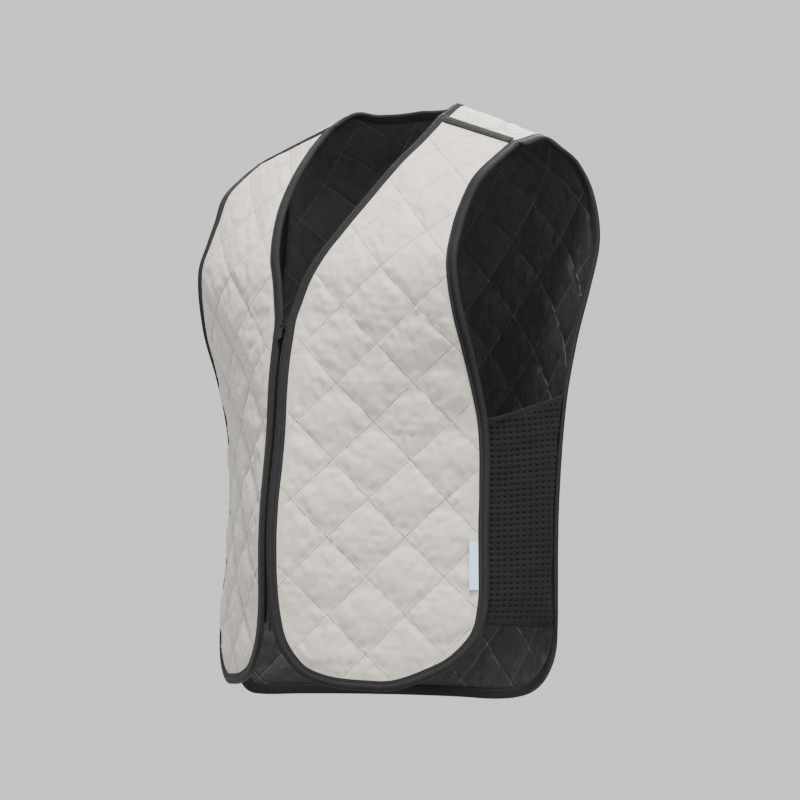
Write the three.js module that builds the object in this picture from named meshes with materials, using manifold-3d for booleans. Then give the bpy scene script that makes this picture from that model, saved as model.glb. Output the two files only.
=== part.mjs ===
// A quilted cooling vest as it stands on a body: two fronts closed by a zip, a back folded over the
// shoulders, a lining inside each, tape bound round every edge and elastic at both sides.
// Millimetres, +Z up, the wearer faces -Y. The origin is between the two shoulder seams.
// Each cloth piece is drawn flat, as across (from the centre line) and up (from the hem), and then
// laid on the body, so cloth widths and heights keep their real length.
import * as THREE from "three";
import { ConvexHull } from "three/addons/math/ConvexHull.js";
import { mergeVertices } from "three/addons/utils/BufferGeometryUtils.js";
import Module from "manifold-3d";

// The body's sizes.
const bodyLength = 680; // back hem to the top of the shoulder fold
const frontReach = 187; // centre front ahead of the body's axis at the hem
const backReach = 170; // centre back behind the axis at the hem
const frontHalf = 245; // one front from the centre line to its side edge, along the cloth
const backHalf = 275; // half the back from the centre line to its side edge, along the cloth

// The shoulder seam, a straight line on each side.
const seamBehind = 22; // behind the axis
const seamRise = 7; // the two seam lines would meet this far above the shoulder fold
const seamTop = bodyLength + seamRise;
const seamFall = 18; // degrees down towards the shoulder
const seamPitch = 35; // degrees up from front to back where the two panels meet
const seamBlend = 45; // cloth height over which a panel turns to that pitch
const neckHalf = 82; // along the seam line to the neck edge
const tipHalf = 202; // along the seam line to the armhole edge
const seamGap = 0.4; // between the cut edges of front and back

// The cloth.
const quiltSquare = 60; // side of a stitched square, which stands on its corner
const quiltFirst = 27; // first crossing of the stitch lines beside the zip, on a front
const quiltRow = 19; // height of the first row of crossings
const shellCloth = 1.2; // outer cloth with its wadding at a stitch line
const shellPuff = 3.4; // what the wadding adds in the middle of a square
const liningCloth = 1.0;
const liningPuff = 1.6;
const layerGap = 0.3; // between any two pieces that touch
const foldGap = 0.7; // the same on the hollow side of a bend
const finest = 15; // point spacing over the shoulder fold
const foldZone = 70; // cloth height below the seam that gets that spacing, on the back

// The tape bound round the edges.
const bindingBand = 10.5;
const bindingCloth = 1.0;
const bindingBend = 1.0; // how far the fold stands out past the cloth it holds
const seamTapeHalf = 6.5;
const stationStep = 41; // longest step between two stations of an edge
const foldStep = 12; // the same over the shoulder fold
const stationTurn = 20; // or this many degrees of turn

// The zip.
const zipTop = 0.632; // share of the body's length where the slider stands
const zipBottom = 0.143;
const zipTapeIn = 1.7;
const zipTurn = 5.6; // where the tape starts to follow the inside of the front
const zipTapeOut = 17;
const zipTapeCloth = 0.7;
const zipSteps = 18;
const teethHalf = 2.1;
const teethHeight = 2.1;
const teethGap = 0.4;
const slotHalf = 2.3; // half of what fits between the two bound edges
const sliderLong = 11;
const sliderPlate = 1.0;
const wedgeHalf = 1.1;
const wedgeLong = 2.6;
const archHalf = 0.9;
const archReach = 3.4;
const archPost = 1.0;
const archBar = 0.9;
const pullThick = 1.1;
const pullHalf = 2.9;
const pullEye = 1.5; // half the width of the pull's eye
const pullEyeLong = 4.6;
const pullLong = 18;
const stopLong = 1.6;
const stopHigh = 1.2;
const boxLong = 9;
const boxHigh = 3.4;

// The elastic at the side.
const elasticCloth = 1.6;
const elasticLap = 11; // how far it runs under the tape at each end
const elasticRun = 6; // how far past the edge it still follows the panel
const elasticFrontTop = 0.472;
const elasticFrontBottom = 0.141;
const elasticBackTop = 0.51;
const elasticBackBottom = 0.131;
const elasticRows = 6;
const elasticColumns = 8;

// The cloth tab at the left side edge.
const labelTop = 0.274;
const labelTall = 53;
const labelOut = 10;
const labelCloth = 0.6;

const cloths = {
  silver: { color: 0xc9c6c0, roughness: 0.62, metalness: 0.15 },
  black: { color: 0x1c1c1e, roughness: 0.5, metalness: 0 },
  tape: { color: 0x2b2b2d, roughness: 0.75, metalness: 0 },
  elastic: { color: 0x1b191a, roughness: 0.85, metalness: 0 },
  metal: { color: 0x2a2a2c, roughness: 0.4, metalness: 0.8 },
  label: { color: 0xbfe0ee, roughness: 0.7, metalness: 0 },
};

// Level sections of the body. Lengths are shares of the body's sizes, angles are degrees.
// up: height at the centre line. out: distance from the axis. turnIn, turnOut: how far the cloth
// has turned round the body at the centre line and at the side edge. fall: its drop sideways.
const frontRows = [
  { up: -0.018, out: 0.99, turnIn: 25, turnOut: 45, fall: 0 },
  { up: 0.143, out: 0.98, turnIn: 27, turnOut: 46, fall: 0 },
  { up: 0.294, out: 0.988, turnIn: 31, turnOut: 47, fall: 0 },
  { up: 0.441, out: 0.918, turnIn: 27, turnOut: 46, fall: 0 },
  { up: 0.544, out: 0.878, turnIn: 20, turnOut: 43, fall: 0 },
  { up: 0.632, out: 0.807, turnIn: 10, turnOut: 37, fall: 0 },
  { up: 0.721, out: 0.727, turnIn: 4, turnOut: 31, fall: 0 },
  { up: 0.779, out: 0.61, turnIn: 3, turnOut: 27, fall: 1 },
  { up: 0.824, out: 0.492, turnIn: 2, turnOut: 21, fall: 3 },
  { up: 0.89, out: 0.289, turnIn: 0, turnOut: 8, fall: 7.5 },
  { up: 0.956, out: 0.07, turnIn: 0, turnOut: 3, fall: 13 },
];
const backRows = [
  { up: -0.018, out: 0.955, turnIn: 0, turnOut: 58, fall: 0 },
  { up: 0.147, out: 0.945, turnIn: 0, turnOut: 57, fall: 0 },
  { up: 0.324, out: 0.94, turnIn: 0, turnOut: 56, fall: 0 },
  { up: 0.493, out: 0.95, turnIn: 0, turnOut: 52, fall: 0 },
  { up: 0.603, out: 0.965, turnIn: 0, turnOut: 45.5, fall: 0 },
  { up: 0.691, out: 0.955, turnIn: 0, turnOut: 36, fall: 0 },
  { up: 0.772, out: 0.925, turnIn: 0, turnOut: 27, fall: 0.5 },
  { up: 0.857, out: 0.853, turnIn: 0, turnOut: 23.5, fall: 2 },
  { up: 0.926, out: 0.735, turnIn: 0, turnOut: 22, fall: 6 },
  { up: 0.985, out: 0.559, turnIn: 0, turnOut: 17, fall: 12.5 },
  { up: 1.039, out: 0.382, turnIn: 0, turnOut: 7, fall: 20 },
];

const radians = THREE.MathUtils.degToRad;

// A smooth curve through values that are given at rising stations.
function smooth(stations, values, at) {
  const last = stations.length - 1;
  let i = stations.findIndex((s) => s > at) - 1;
  if (i < 0) i = at < stations[0] ? 0 : last - 1;
  const slope = (k) => {
    const a = Math.max(k - 1, 0);
    const b = Math.min(k + 1, last);
    return (values[b] - values[a]) / (stations[b] - stations[a]);
  };
  const gap = stations[i + 1] - stations[i];
  const t = (at - stations[i]) / gap;
  const h = t * t * (3 - 2 * t);
  const bow = gap * (slope(i) * t * (1 - t) ** 2 - slope(i + 1) * t * t * (1 - t));
  return values[i] * (1 - h) + values[i + 1] * h + bow;
}

// Away from the body at the shoulder seam, the same for both panels.
function seamNormal(side) {
  const fall = radians(seamFall);
  const pitch = radians(seamPitch);
  const level = Math.cos(fall);
  const x = side * Math.sin(fall) * Math.cos(pitch);
  return new THREE.Vector3(x, -level * Math.sin(pitch), level * Math.cos(pitch)).normalize();
}

// The body's surface under one panel. facing is -1 for the front and 1 for the back.
function bodySurface(rows, reach, half, facing) {
  const levels = rows.map((row) => ({
    z: row.up * bodyLength,
    y: row.out * reach * facing,
    turnIn: radians(row.turnIn),
    turnOut: radians(row.turnOut),
    fall: radians(row.fall),
  }));
  levels.push({ z: seamTop, y: seamBehind, turnIn: 0, turnOut: 0, fall: radians(seamFall) });

  // Where the cloth lies this far across a level.
  function along(level, across) {
    const u = Math.abs(across) * Math.cos(level.fall);
    const bend = (level.turnOut - level.turnIn) / half;
    const end = level.turnIn + bend * u;
    const flat = Math.abs(bend) < 1e-7;
    const x = flat ? u * Math.cos(end) : (Math.sin(end) - Math.sin(level.turnIn)) / bend;
    const y = flat ? u * Math.sin(end) : (Math.cos(level.turnIn) - Math.cos(end)) / bend;
    const z = level.z - Math.abs(across) * Math.sin(level.fall);
    return new THREE.Vector3(x * (across < 0 ? -1 : 1), level.y - y * facing, z);
  }

  const middle = half / 2;
  const stations = [levels[0].z];
  for (let k = 1; k < levels.length; k++) {
    const step = along(levels[k], middle).distanceTo(along(levels[k - 1], middle));
    stations.push(stations[k - 1] + step);
  }
  const top = stations[stations.length - 1];
  const names = Object.keys(levels[0]);
  const columns = Object.fromEntries(names.map((n) => [n, levels.map((level) => level[n])]));

  function at(across, row) {
    const level = Object.fromEntries(names.map((n) => [n, smooth(stations, columns[n], row)]));
    return along(level, across);
  }

  // Cloth height above the hem for each column and row of a fine net.
  const columnStep = 10;
  const rowSteps = 150;
  const rowAt = (k) => stations[0] + ((top - stations[0]) * k) / rowSteps;
  const net = [];
  for (let i = 0; i * columnStep <= half + 4 * columnStep; i++) {
    const heights = [stations[0]];
    let before = at(i * columnStep, rowAt(0));
    for (let k = 1; k <= rowSteps; k++) {
      const here = at(i * columnStep, rowAt(k));
      heights.push(heights[k - 1] + here.distanceTo(before));
      before = here;
    }
    net.push(heights);
  }

  function column(across) {
    const i = Math.min(Math.abs(across) / columnStep, net.length - 1.001);
    const a = net[Math.floor(i)];
    const b = net[Math.floor(i) + 1];
    return a.map((height, k) => height + (b[k] - height) * (i % 1));
  }

  // The cloth height at which the panel meets the shoulder seam.
  const seamUp = (across) => column(across).at(-1);

  function rowOf(across, up) {
    const heights = column(across);
    let k = 0;
    while (k < heights.length - 2 && heights[k + 1] < up) k++;
    const share = (up - heights[k]) / (heights[k + 1] - heights[k]);
    return rowAt(k) + (rowAt(k + 1) - rowAt(k)) * share;
  }

  // A point of the cloth, lifted off the body along its normal.
  function place(across, up, lift = 0) {
    const row = rowOf(across, up);
    const step = 1;
    const here = at(across, row);
    const side = across < 0 ? -1 : 1;
    const sideways = at(across + side * step, row).sub(here).multiplyScalar(side);
    const upwards = here.clone().sub(at(across, row - step));
    const out = sideways.cross(upwards).normalize().multiplyScalar(-facing);
    const near = 1 - Math.min(Math.max(seamUp(across) - up, 0) / seamBlend, 1);
    out.lerp(seamNormal(side), near * near * (3 - 2 * near)).normalize();
    return here.addScaledVector(out, lift);
  }
  return { place, seamUp };
}

const front = bodySurface(frontRows, frontReach, frontHalf, -1);
const back = bodySurface(backRows, backReach, backHalf, 1);

// Cut edges of the cloth: across as a share of the panel's half width, up as a share of the body's
// length. Each runs from the neck end of the shoulder seam to its armhole end.
const frontEdge = [
  { across: 0.333, up: 1.044 },
  { across: 0.318, up: 0.992 },
  { across: 0.289, up: 0.943 },
  { across: 0.257, up: 0.886 },
  { across: 0.228, up: 0.843 },
  { across: 0.178, up: 0.789 },
  { across: 0.12, up: 0.739 },
  { across: 0.074, up: 0.703 },
  { across: 0.042, up: 0.664 },
  { across: 0.022, up: 0.636 },
  { across: 0.0175, up: 0.6 },
  { across: 0.0175, up: 0.4 },
  { across: 0.0175, up: 0.21 },
  { across: 0.029, up: 0.155 },
  { across: 0.059, up: 0.111 },
  { across: 0.11, up: 0.081 },
  { across: 0.173, up: 0.059 },
  { across: 0.294, up: 0.043 },
  { across: 0.451, up: 0.037 },
  { across: 0.583, up: 0.037 },
  { across: 0.748, up: 0.057 },
  { across: 0.866, up: 0.082 },
  { across: 0.959, up: 0.121 },
  { across: 0.992, up: 0.167 },
  { across: 1.0, up: 0.275 },
  { across: 0.99, up: 0.362 },
  { across: 0.961, up: 0.465 },
  { across: 0.897, up: 0.567 },
  { across: 0.838, up: 0.648 },
  { across: 0.81, up: 0.706 },
  { across: 0.79, up: 0.764 },
  { across: 0.775, up: 0.826 },
  { across: 0.79, up: 0.897 },
];
const backSideEdge = [
  { across: 0.756, up: 1.03 },
  { across: 0.786, up: 0.98 },
  { across: 0.817, up: 0.93 },
  { across: 0.848, up: 0.88 },
  { across: 0.878, up: 0.83 },
  { across: 0.899, up: 0.78 },
  { across: 0.908, up: 0.73 },
  { across: 0.91, up: 0.68 },
  { across: 0.912, up: 0.607 },
  { across: 0.92, up: 0.493 },
  { across: 0.93, up: 0.4 },
  { across: 0.938, up: 0.3 },
  { across: 0.942, up: 0.2 },
];
// The back's lower corner is cut well round on the left and hangs further forward on the right.
const backLeftCorner = [
  { across: 0.938, up: 0.155 },
  { across: 0.92, up: 0.126 },
  { across: 0.872, up: 0.103 },
  { across: 0.8, up: 0.083 },
  { across: 0.71, up: 0.061 },
  { across: 0.6, up: 0.037 },
  { across: 0.473, up: 0.017 },
  { across: 0.345, up: 0.006 },
  { across: 0.18, up: 0.0 },
  { across: 0.0, up: 0.0 },
];
const backRightCorner = [
  { across: 0.957, up: 0.14 },
  { across: 0.983, up: 0.09 },
  { across: 1.005, up: 0.056 },
  { across: 1.01, up: 0.034 },
  { across: 0.998, up: 0.016 },
  { across: 0.965, up: 0.004 },
  { across: 0.91, up: 0.0 },
  { across: 0.75, up: 0.0 },
  { across: 0.5, up: 0.0 },
  { across: 0.25, up: 0.0 },
  { across: 0.0, up: 0.0 },
];
const backNeckEdge = [
  { across: 0.297, up: 1.075 },
  { across: 0.284, up: 1.05 },
  { across: 0.24, up: 1.034 },
  { across: 0.16, up: 1.028 },
  { across: 0.08, up: 1.026 },
  { across: 0.0, up: 1.026 },
];

// Where the seam's two ends lie on the two panels as the tables are drawn. Rows near the shoulder
// move with those ends when a size changes.
const neckDrawn = { front: 0.3347, back: 0.2982 };
const tipDrawn = { front: 0.8245, back: 0.7345 };
const shoulderRows = 0.7; // share of the length above which rows begin to do so

function cloth(rows, half, panel) {
  return rows.map((row) => {
    const isNeck = row.across < (neckDrawn[panel] + tipDrawn[panel]) / 2;
    const drawn = (isNeck ? neckDrawn : tipDrawn)[panel] * half;
    const near = THREE.MathUtils.clamp((row.up - shoulderRows) / (1 - shoulderRows), 0, 1);
    const shift = ((isNeck ? neckHalf : tipHalf) - drawn) * near;
    return new THREE.Vector2(row.across * half + shift, row.up * bodyLength);
  });
}

// Stations along a smooth curve, close together where it turns. inward points into the cloth,
// which lies on the left of the curve; the ends keep to the shoulder seam.
function stationsAlong(points, ends, isFold) {
  const curve = new THREE.CatmullRomCurve3(
    points.map((p) => new THREE.Vector3(p.x, p.y, 0)),
    false,
    "centripetal",
  );
  const steps = Math.ceil(curve.getLength() / 4);
  const heading = (t) => {
    const tangent = curve.getTangentAt(t);
    return Math.atan2(tangent.y, tangent.x);
  };
  const chosen = [0];
  for (let i = 1; i < steps; i++) {
    const before = chosen[chosen.length - 1];
    const run = ((i - before) / steps) * curve.getLength();
    let turn = Math.abs(heading(i / steps) - heading(before / steps));
    turn = Math.min(turn, 2 * Math.PI - turn);
    const rest = ((steps - i) / steps) * curve.getLength();
    const step = isFold(curve.getPointAt(i / steps)) ? foldStep : stationStep;
    const due = run >= step || turn >= radians(stationTurn);
    if (due && rest > step / 2) chosen.push(i);
  }
  chosen.push(steps);
  return chosen.map((i, k) => {
    const point = curve.getPointAt(i / steps);
    const angle = heading(i / steps) + Math.PI / 2;
    let inward = new THREE.Vector2(Math.cos(angle), Math.sin(angle));
    if (k === 0) inward = ends[0];
    if (k === chosen.length - 1) inward = ends[1];
    return { point: new THREE.Vector2(point.x, point.y), inward };
  });
}

// The direction of the shoulder seam on the flat cloth, away from the neck.
function seamWay(surface, across) {
  const rise = surface.seamUp(across + 1) - surface.seamUp(across);
  return new THREE.Vector2(1, rise).normalize();
}

// The two ends of an edge sit on the shoulder seam.
const onSeam = (surface, across) =>
  new THREE.Vector2(across, surface.seamUp(Math.abs(across)) - seamGap / 2);

function frontStations() {
  const points = [
    onSeam(front, neckHalf),
    ...cloth(frontEdge, frontHalf, "front"),
    onSeam(front, tipHalf),
  ];
  const ends = [seamWay(front, neckHalf), seamWay(front, tipHalf).negate()];
  return stationsAlong(points, ends, (p) => p.y > front.seamUp(Math.abs(p.x)) - seamBlend * 1.5);
}

const inFold = (p) => p.y > back.seamUp(Math.abs(p.x)) - foldZone;

const acrossCentre = (s) => ({
  point: new THREE.Vector2(-s.point.x, s.point.y),
  inward: new THREE.Vector2(-s.inward.x, s.inward.y),
});

function backStations() {
  const way = seamWay(back, tipHalf).negate();
  const half = (corner) => {
    const side = cloth([...backSideEdge, ...corner], backHalf, "back").reverse();
    const points = [...side, onSeam(back, tipHalf)];
    return stationsAlong(points, [new THREE.Vector2(0, 1), way], inFold);
  };
  const right = half(backRightCorner).slice(1).reverse().map(acrossCentre);
  return [...right, ...half(backLeftCorner)];
}

function neckStations() {
  const points = [onSeam(back, neckHalf), ...cloth(backNeckEdge, backHalf, "back")];
  const ends = [seamWay(back, neckHalf), new THREE.Vector2(0, -1)];
  const half = stationsAlong(points, ends, inFold);
  return [...half, ...half.slice(0, -1).reverse().map(acrossCentre)];
}
const frontBound = frontStations();
const backBound = backStations();
const neckBound = neckStations();

// How much the wadding stands up here, from 0 on a stitch line to 1 in the middle of a square.
function puff(across, up, first) {
  const a = across - first;
  const b = up - quiltRow;
  const wave = (d) => Math.abs(Math.sin((Math.PI * d) / (Math.SQRT2 * quiltSquare)));
  return (wave(a + b) * wave(a - b)) ** 0.7;
}

const zero = new THREE.Vector2();
const seamSteps = 5;

// Points inside a cloth outline: the quilt's crossings, the middles of its lines and squares, and
// closer ones where the cloth folds over the shoulder.
function quiltPoints(inside, lowest, highest, half, first, isFold) {
  const points = [];
  const half60 = quiltSquare / 2;
  const reach = Math.ceil((highest - lowest + 2 * half) / finest);
  for (let i = -reach; i <= reach; i++) {
    for (let j = -reach; j <= reach; j++) {
      const p = (i * finest) / Math.SQRT2;
      const q = (j * finest) / Math.SQRT2;
      const point = new THREE.Vector2(p - q + first, p + q + quiltRow);
      if (point.x < -half || point.x > half) continue;
      if (point.y < lowest || point.y > highest) continue;
      const every = Math.round(half60 / finest);
      const coarse = i % every === 0 && j % every === 0;
      if ((coarse || isFold(point)) && inside(point)) points.push(point);
    }
  }
  return points;
}

function isInside(point, outline) {
  let odd = false;
  for (let i = 0, j = outline.length - 1; i < outline.length; j = i++) {
    const a = outline[i];
    const b = outline[j];
    const crosses = a.y > point.y !== b.y > point.y;
    if (crosses && point.x < ((b.x - a.x) * (point.y - a.y)) / (b.y - a.y) + a.x) odd = !odd;
  }
  return odd;
}

// Delaunay triangles of flat points: the underside of the hull of the points lifted to a bowl.
function triangulate(points, outline) {
  const size = 100;
  const lifted = points.map((p, i) => {
    const x = p.x / size + 1e-6 * Math.sin(i * 12.9898);
    const y = p.y / size + 1e-6 * Math.sin(i * 78.233);
    const v = new THREE.Vector3(x, y, x * x + y * y);
    v.index = i;
    return v;
  });
  const hull = new ConvexHull().setFromPoints(lifted);
  const triangles = [];
  for (const face of hull.faces) {
    if (face.normal.z > -1e-9) continue;
    const corners = [];
    let edge = face.edge;
    do {
      corners.push(edge.head().point.index);
      edge = edge.next;
    } while (edge !== face.edge);
    const [a, b, c] = corners.map((i) => points[i]);
    const centre = new THREE.Vector2((a.x + b.x + c.x) / 3, (a.y + b.y + c.y) / 3);
    const area = (b.x - a.x) * (c.y - a.y) - (b.y - a.y) * (c.x - a.x);
    if (Math.abs(area) < 0.05 || !isInside(centre, outline)) continue;
    triangles.push(area > 0 ? corners : [corners[0], corners[2], corners[1]]);
  }
  return triangles;
}

// The flat net of one panel: a flat band under the tape and the seam, and the quilt inside it.
// Each edge ends on a shoulder seam, and that seam leads to the start of the next edge.
function clothNet(surface, edges, half, first, isFold) {
  const clear = bindingBand + layerGap + 1;
  const seamClear = new THREE.Vector2(0, -seamTapeHalf - layerGap - 1);
  const outline = [];
  const inset = [];
  edges.forEach((edge, k) => {
    edge.forEach((s, i) => {
      const end = i === 0 || i === edge.length - 1;
      outline.push(s.point);
      inset.push(s.point.clone().addScaledVector(s.inward, clear).add(end ? seamClear : zero));
    });
    const from = edge[edge.length - 1].point.x;
    const to = edges[(k + 1) % edges.length][0].point.x;
    for (let i = 1; i < seamSteps; i++) {
      const point = onSeam(surface, from + ((to - from) * i) / seamSteps);
      outline.push(point);
      inset.push(point.clone().add(seamClear));
    }
  });
  const inside = (p) =>
    isInside(p, inset) &&
    inset.every((a, i) => {
      const b = inset[(i + 1) % inset.length];
      return a.clone().sub(p).dot(b.clone().sub(p)) > 0 && a.distanceTo(p) > finest / 2;
    });
  const heights = outline.map((p) => p.y);
  const lowest = Math.min(...heights);
  const quilt = quiltPoints(inside, lowest, Math.max(...heights), half * 1.1, first, isFold);
  const rim = outline.length;
  const triangles = triangulate([...inset, ...quilt], inset);
  const all = triangles.map((corners) => corners.map((i) => i + rim));
  for (let i = 0; i < rim; i++) {
    const j = (i + 1) % rim;
    all.push([i, j, j + rim], [i, j + rim, i + rim]);
  }
  return { points: [...outline, ...inset, ...quilt], flat: 2 * rim, triangles: all, first };
}

const frontNet = clothNet(front, [frontBound], frontHalf, quiltFirst, () => false);
const backNet = clothNet(back, [backBound, neckBound], backHalf, 0, inFold);

// A closed mesh with its faces turned outwards.
function meshOf(name, positions, faces, look) {
  const sixth = ([a, b, c]) => positions[a].dot(positions[b].clone().cross(positions[c]));
  const inwards = faces.reduce((sum, face) => sum + sixth(face), 0) < 0;
  const geometry = new THREE.BufferGeometry();
  const flatList = positions.flatMap((p) => [p.x, p.y - seamBehind, p.z - originUp]);
  geometry.setAttribute("position", new THREE.Float32BufferAttribute(flatList, 3));
  geometry.setIndex(faces.flatMap(([a, b, c]) => (inwards ? [a, c, b] : [a, b, c])));
  geometry.computeVertexNormals();
  const mesh = new THREE.Mesh(geometry, new THREE.MeshStandardMaterial(cloths[look]));
  mesh.name = name;
  return mesh;
}

const originUp = seamTop - ((neckHalf + tipHalf) / 2) * Math.sin(radians(seamFall));
const mirror = (p, side) => p.setX(p.x * side);

// A layer of cloth between two heights above the body, each given for a point of the net.
function clothLayer(name, surface, net, low, high, look, side) {
  const count = net.points.length;
  const at = (lift) =>
    net.points.map((p, i) => {
      const stands = i < net.flat ? 0 : puff(p.x, p.y, net.first);
      return mirror(surface.place(p.x, p.y, lift(stands)), side);
    });
  const faces = [];
  const used = new Map();
  for (const [a, b, c] of net.triangles) {
    faces.push([a, b, c], [a + count, c + count, b + count]);
    for (const [m, n] of [[a, b], [b, c], [c, a]]) used.set(`${m},${n}`, [m, n]);
  }
  for (const [m, n] of used.values()) {
    if (used.has(`${n},${m}`)) continue;
    faces.push([n, m, m + count], [n, m + count, n + count]);
  }
  return meshOf(name, [...at(high), ...at(low)], faces, look);
}

const shellLow = () => layerGap / 2;
const shellHigh = (rise) => layerGap / 2 + shellCloth + shellPuff * rise;
const liningHigh = () => -layerGap / 2;
const liningLow = (rise) => -layerGap / 2 - liningCloth - liningPuff * rise;
const shellTop = layerGap / 2 + shellCloth;
const liningBottom = -layerGap / 2 - liningCloth;

// The folded tape's section: inward from the cloth's edge, and lift off the body.
const tapeSection = (() => {
  const inside = -layerGap;
  const outside = inside - bindingBend;
  const topIn = shellTop + layerGap;
  const topOut = topIn + bindingCloth;
  const lowIn = liningBottom - foldGap;
  const lowOut = lowIn - bindingCloth;
  return [
    { inward: bindingBand, lift: topIn },
    { inward: bindingBand, lift: topOut },
    { inward: 0, lift: topOut },
    { inward: outside, lift: topIn },
    { inward: outside, lift: lowIn },
    { inward: 0, lift: lowOut },
    { inward: bindingBand, lift: lowOut },
    { inward: bindingBand, lift: lowIn },
    { inward: inside, lift: lowIn },
    { inward: inside, lift: topIn },
  ];
})();
const bindingTop = shellTop + layerGap + bindingCloth;
const bindingBottom = liningBottom - foldGap - bindingCloth;
const zipTapeEnds = [[0, 1, 5], [1, 4, 5], [1, 2, 4], [2, 3, 4]];
const tapeHollow = 7; // the side that faces the lining, cut along the same diagonals as the cloth
const tapeEnds = [
  [0, 1, 2],
  [0, 2, 9],
  [2, 3, 9],
  [3, 8, 9],
  [3, 4, 8],
  [4, 5, 8],
  [5, 7, 8],
  [5, 6, 7],
];

// A solid swept through rings of points, closed by fans at both ends.
function swept(name, rings, look, ends, turned = -1) {
  const n = rings[0].length;
  const faces = [];
  for (let k = 0; k + 1 < rings.length; k++) {
    for (let i = 0; i < n; i++) {
      const a = k * n + i;
      const b = k * n + ((i + 1) % n);
      if (i === turned) faces.push([a, b, a + n], [b, b + n, a + n]);
      else faces.push([a, b, b + n], [a, b + n, a + n]);
    }
  }
  const fan = Array.from({ length: n - 2 }, (_, i) => [0, i + 1, i + 2]);
  const caps = ends ?? fan;
  const last = (rings.length - 1) * n;
  for (const [a, b, c] of caps) faces.push([c, b, a], [a + last, b + last, c + last]);
  return meshOf(name, rings.flat(), faces, look);
}

function binding(name, surface, stations, side) {
  const rings = stations.map((s) =>
    tapeSection.map((corner) => {
      const p = s.point.clone().addScaledVector(s.inward, corner.inward);
      return mirror(surface.place(p.x, p.y, corner.lift), side);
    }),
  );
  return swept(name, rings, "tape", tapeEnds, tapeHollow);
}

// The flat tape over a shoulder seam, from the neck tape to the armhole tape.
function shoulderTape(name, side) {
  const stations = [neckHalf + bindingBand + layerGap, tipHalf - bindingBand - layerGap];
  for (let i = 1; i < seamSteps; i++) {
    stations.splice(i, 0, neckHalf + ((tipHalf - neckHalf) * i) / seamSteps);
  }
  const rings = [];
  for (const across of stations) {
    const low = shellTop + 2 * layerGap;
    const high = low + bindingCloth;
    const on = (surface, down, lift) =>
      mirror(surface.place(across, surface.seamUp(across) - down, lift), side);
    const middle = (lift) =>
      on(front, 0, lift).add(on(back, 0, lift)).multiplyScalar(0.5);
    rings.push([
      on(front, seamTapeHalf, low),
      on(front, seamTapeHalf, high),
      middle(high),
      on(back, seamTapeHalf, high),
      on(back, seamTapeHalf, low),
      middle(low),
    ]);
  }
  return swept(name, rings, "tape");
}

// A sheet of this thickness round a grid of points, rows first. Its faces look along the normals.
function sheet(name, grid, thick, look) {
  const rows = grid.length;
  const columns = grid[0].length;
  const near = (value, limit) => Math.max(0, Math.min(limit - 1, value));
  const normal = (r, c) => {
    const across = grid[r][near(c + 1, columns)].clone().sub(grid[r][near(c - 1, columns)]);
    const up = grid[near(r + 1, rows)][c].clone().sub(grid[near(r - 1, rows)][c]);
    return across.cross(up).normalize();
  };
  const rings = grid.map((line, r) => {
    const out = line.map((p, c) => p.clone().addScaledVector(normal(r, c), thick / 2));
    const inner = line.map((p, c) => p.clone().addScaledVector(normal(r, c), -thick / 2));
    return [...out, ...inner.reverse()];
  });
  const n = 2 * columns;
  const faces = [];
  for (let k = 0; k + 1 < rows; k++) {
    for (let i = 0; i < n; i++) {
      const a = k * n + i;
      const b = k * n + ((i + 1) % n);
      faces.push([a, b, b + n], [a, b + n, a + n]);
    }
  }
  const last = (rows - 1) * n;
  for (let i = 0; i + 1 < columns; i++) {
    const [a, b, c, d] = [i, i + 1, n - 2 - i, n - 1 - i];
    faces.push([c, b, a], [d, c, a], [a + last, b + last, c + last], [a + last, c + last, d + last]);
  }
  return meshOf(name, rings.flat(), faces, look);
}

// Elastic from under the front's side tape, across the gap and along the inside of the back's tape.
function sideElastic(name, side) {
  const under = bindingBottom - foldGap - elasticCloth / 2;
  const grid = [];
  for (let r = 0; r <= elasticRows; r++) {
    const t = r / elasticRows;
    const frontUp = THREE.MathUtils.lerp(elasticFrontBottom, elasticFrontTop, t) * bodyLength;
    const backUp = THREE.MathUtils.lerp(elasticBackBottom, elasticBackTop, t) * bodyLength;
    const frontSide = edgeAcross(frontBound, frontUp);
    const backSide = edgeAcross(backBound, backUp);
    const path = new THREE.CatmullRomCurve3(
      [
        front.place(frontSide - elasticLap, frontUp, under),
        front.place(frontSide, frontUp, under),
        front.place(frontSide + elasticRun, frontUp, under),
        back.place(backSide + elasticRun, backUp, under),
        back.place(backSide, backUp, under),
        back.place(backSide - elasticLap, backUp, under),
      ],
      false,
      "centripetal",
    );
    const line = [];
    for (let c = 0; c <= elasticColumns; c++) line.push(path.getPoint(c / elasticColumns));
    grid.push(line.map((p) => mirror(p, side)));
  }
  return sheet(name, grid, elasticCloth, "elastic");
}

// How far across the side edge runs at this height.
function edgeAcross(stations, up) {
  const side = stations.filter((s) => s.point.x > frontHalf / 2);
  for (let k = 0; k + 1 < side.length; k++) {
    const a = side[k].point;
    const b = side[k + 1].point;
    if ((a.y - up) * (b.y - up) <= 0 && a.y !== b.y) {
      return a.x + ((b.x - a.x) * (up - a.y)) / (b.y - a.y);
    }
  }
  throw new Error("the side edge doesn't reach this height");
}

// The pale tab that comes out from under the left side tape.
function sideLabel() {
  const top = labelTop * bodyLength;
  const steps = 4;
  const from = bindingBand + layerGap;
  const rings = [];
  for (let i = 0; i <= steps; i++) {
    const up = top - labelTall + (labelTall * i) / steps;
    const edge = edgeAcross(frontBound, up);
    const rest = (d) => shellTop + layerGap + (shellPuff * (d - from)) / labelOut;
    rings.push(
      [
        { d: from, lift: rest(from) },
        { d: from, lift: rest(from) + labelCloth },
        { d: from + labelOut, lift: rest(from + labelOut) + labelCloth },
        { d: from + labelOut, lift: rest(from + labelOut) },
      ].map(({ d, lift }) => front.place(edge - d, up, lift)),
    );
  }
  return swept("side_label", rings, "label");
}

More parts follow.
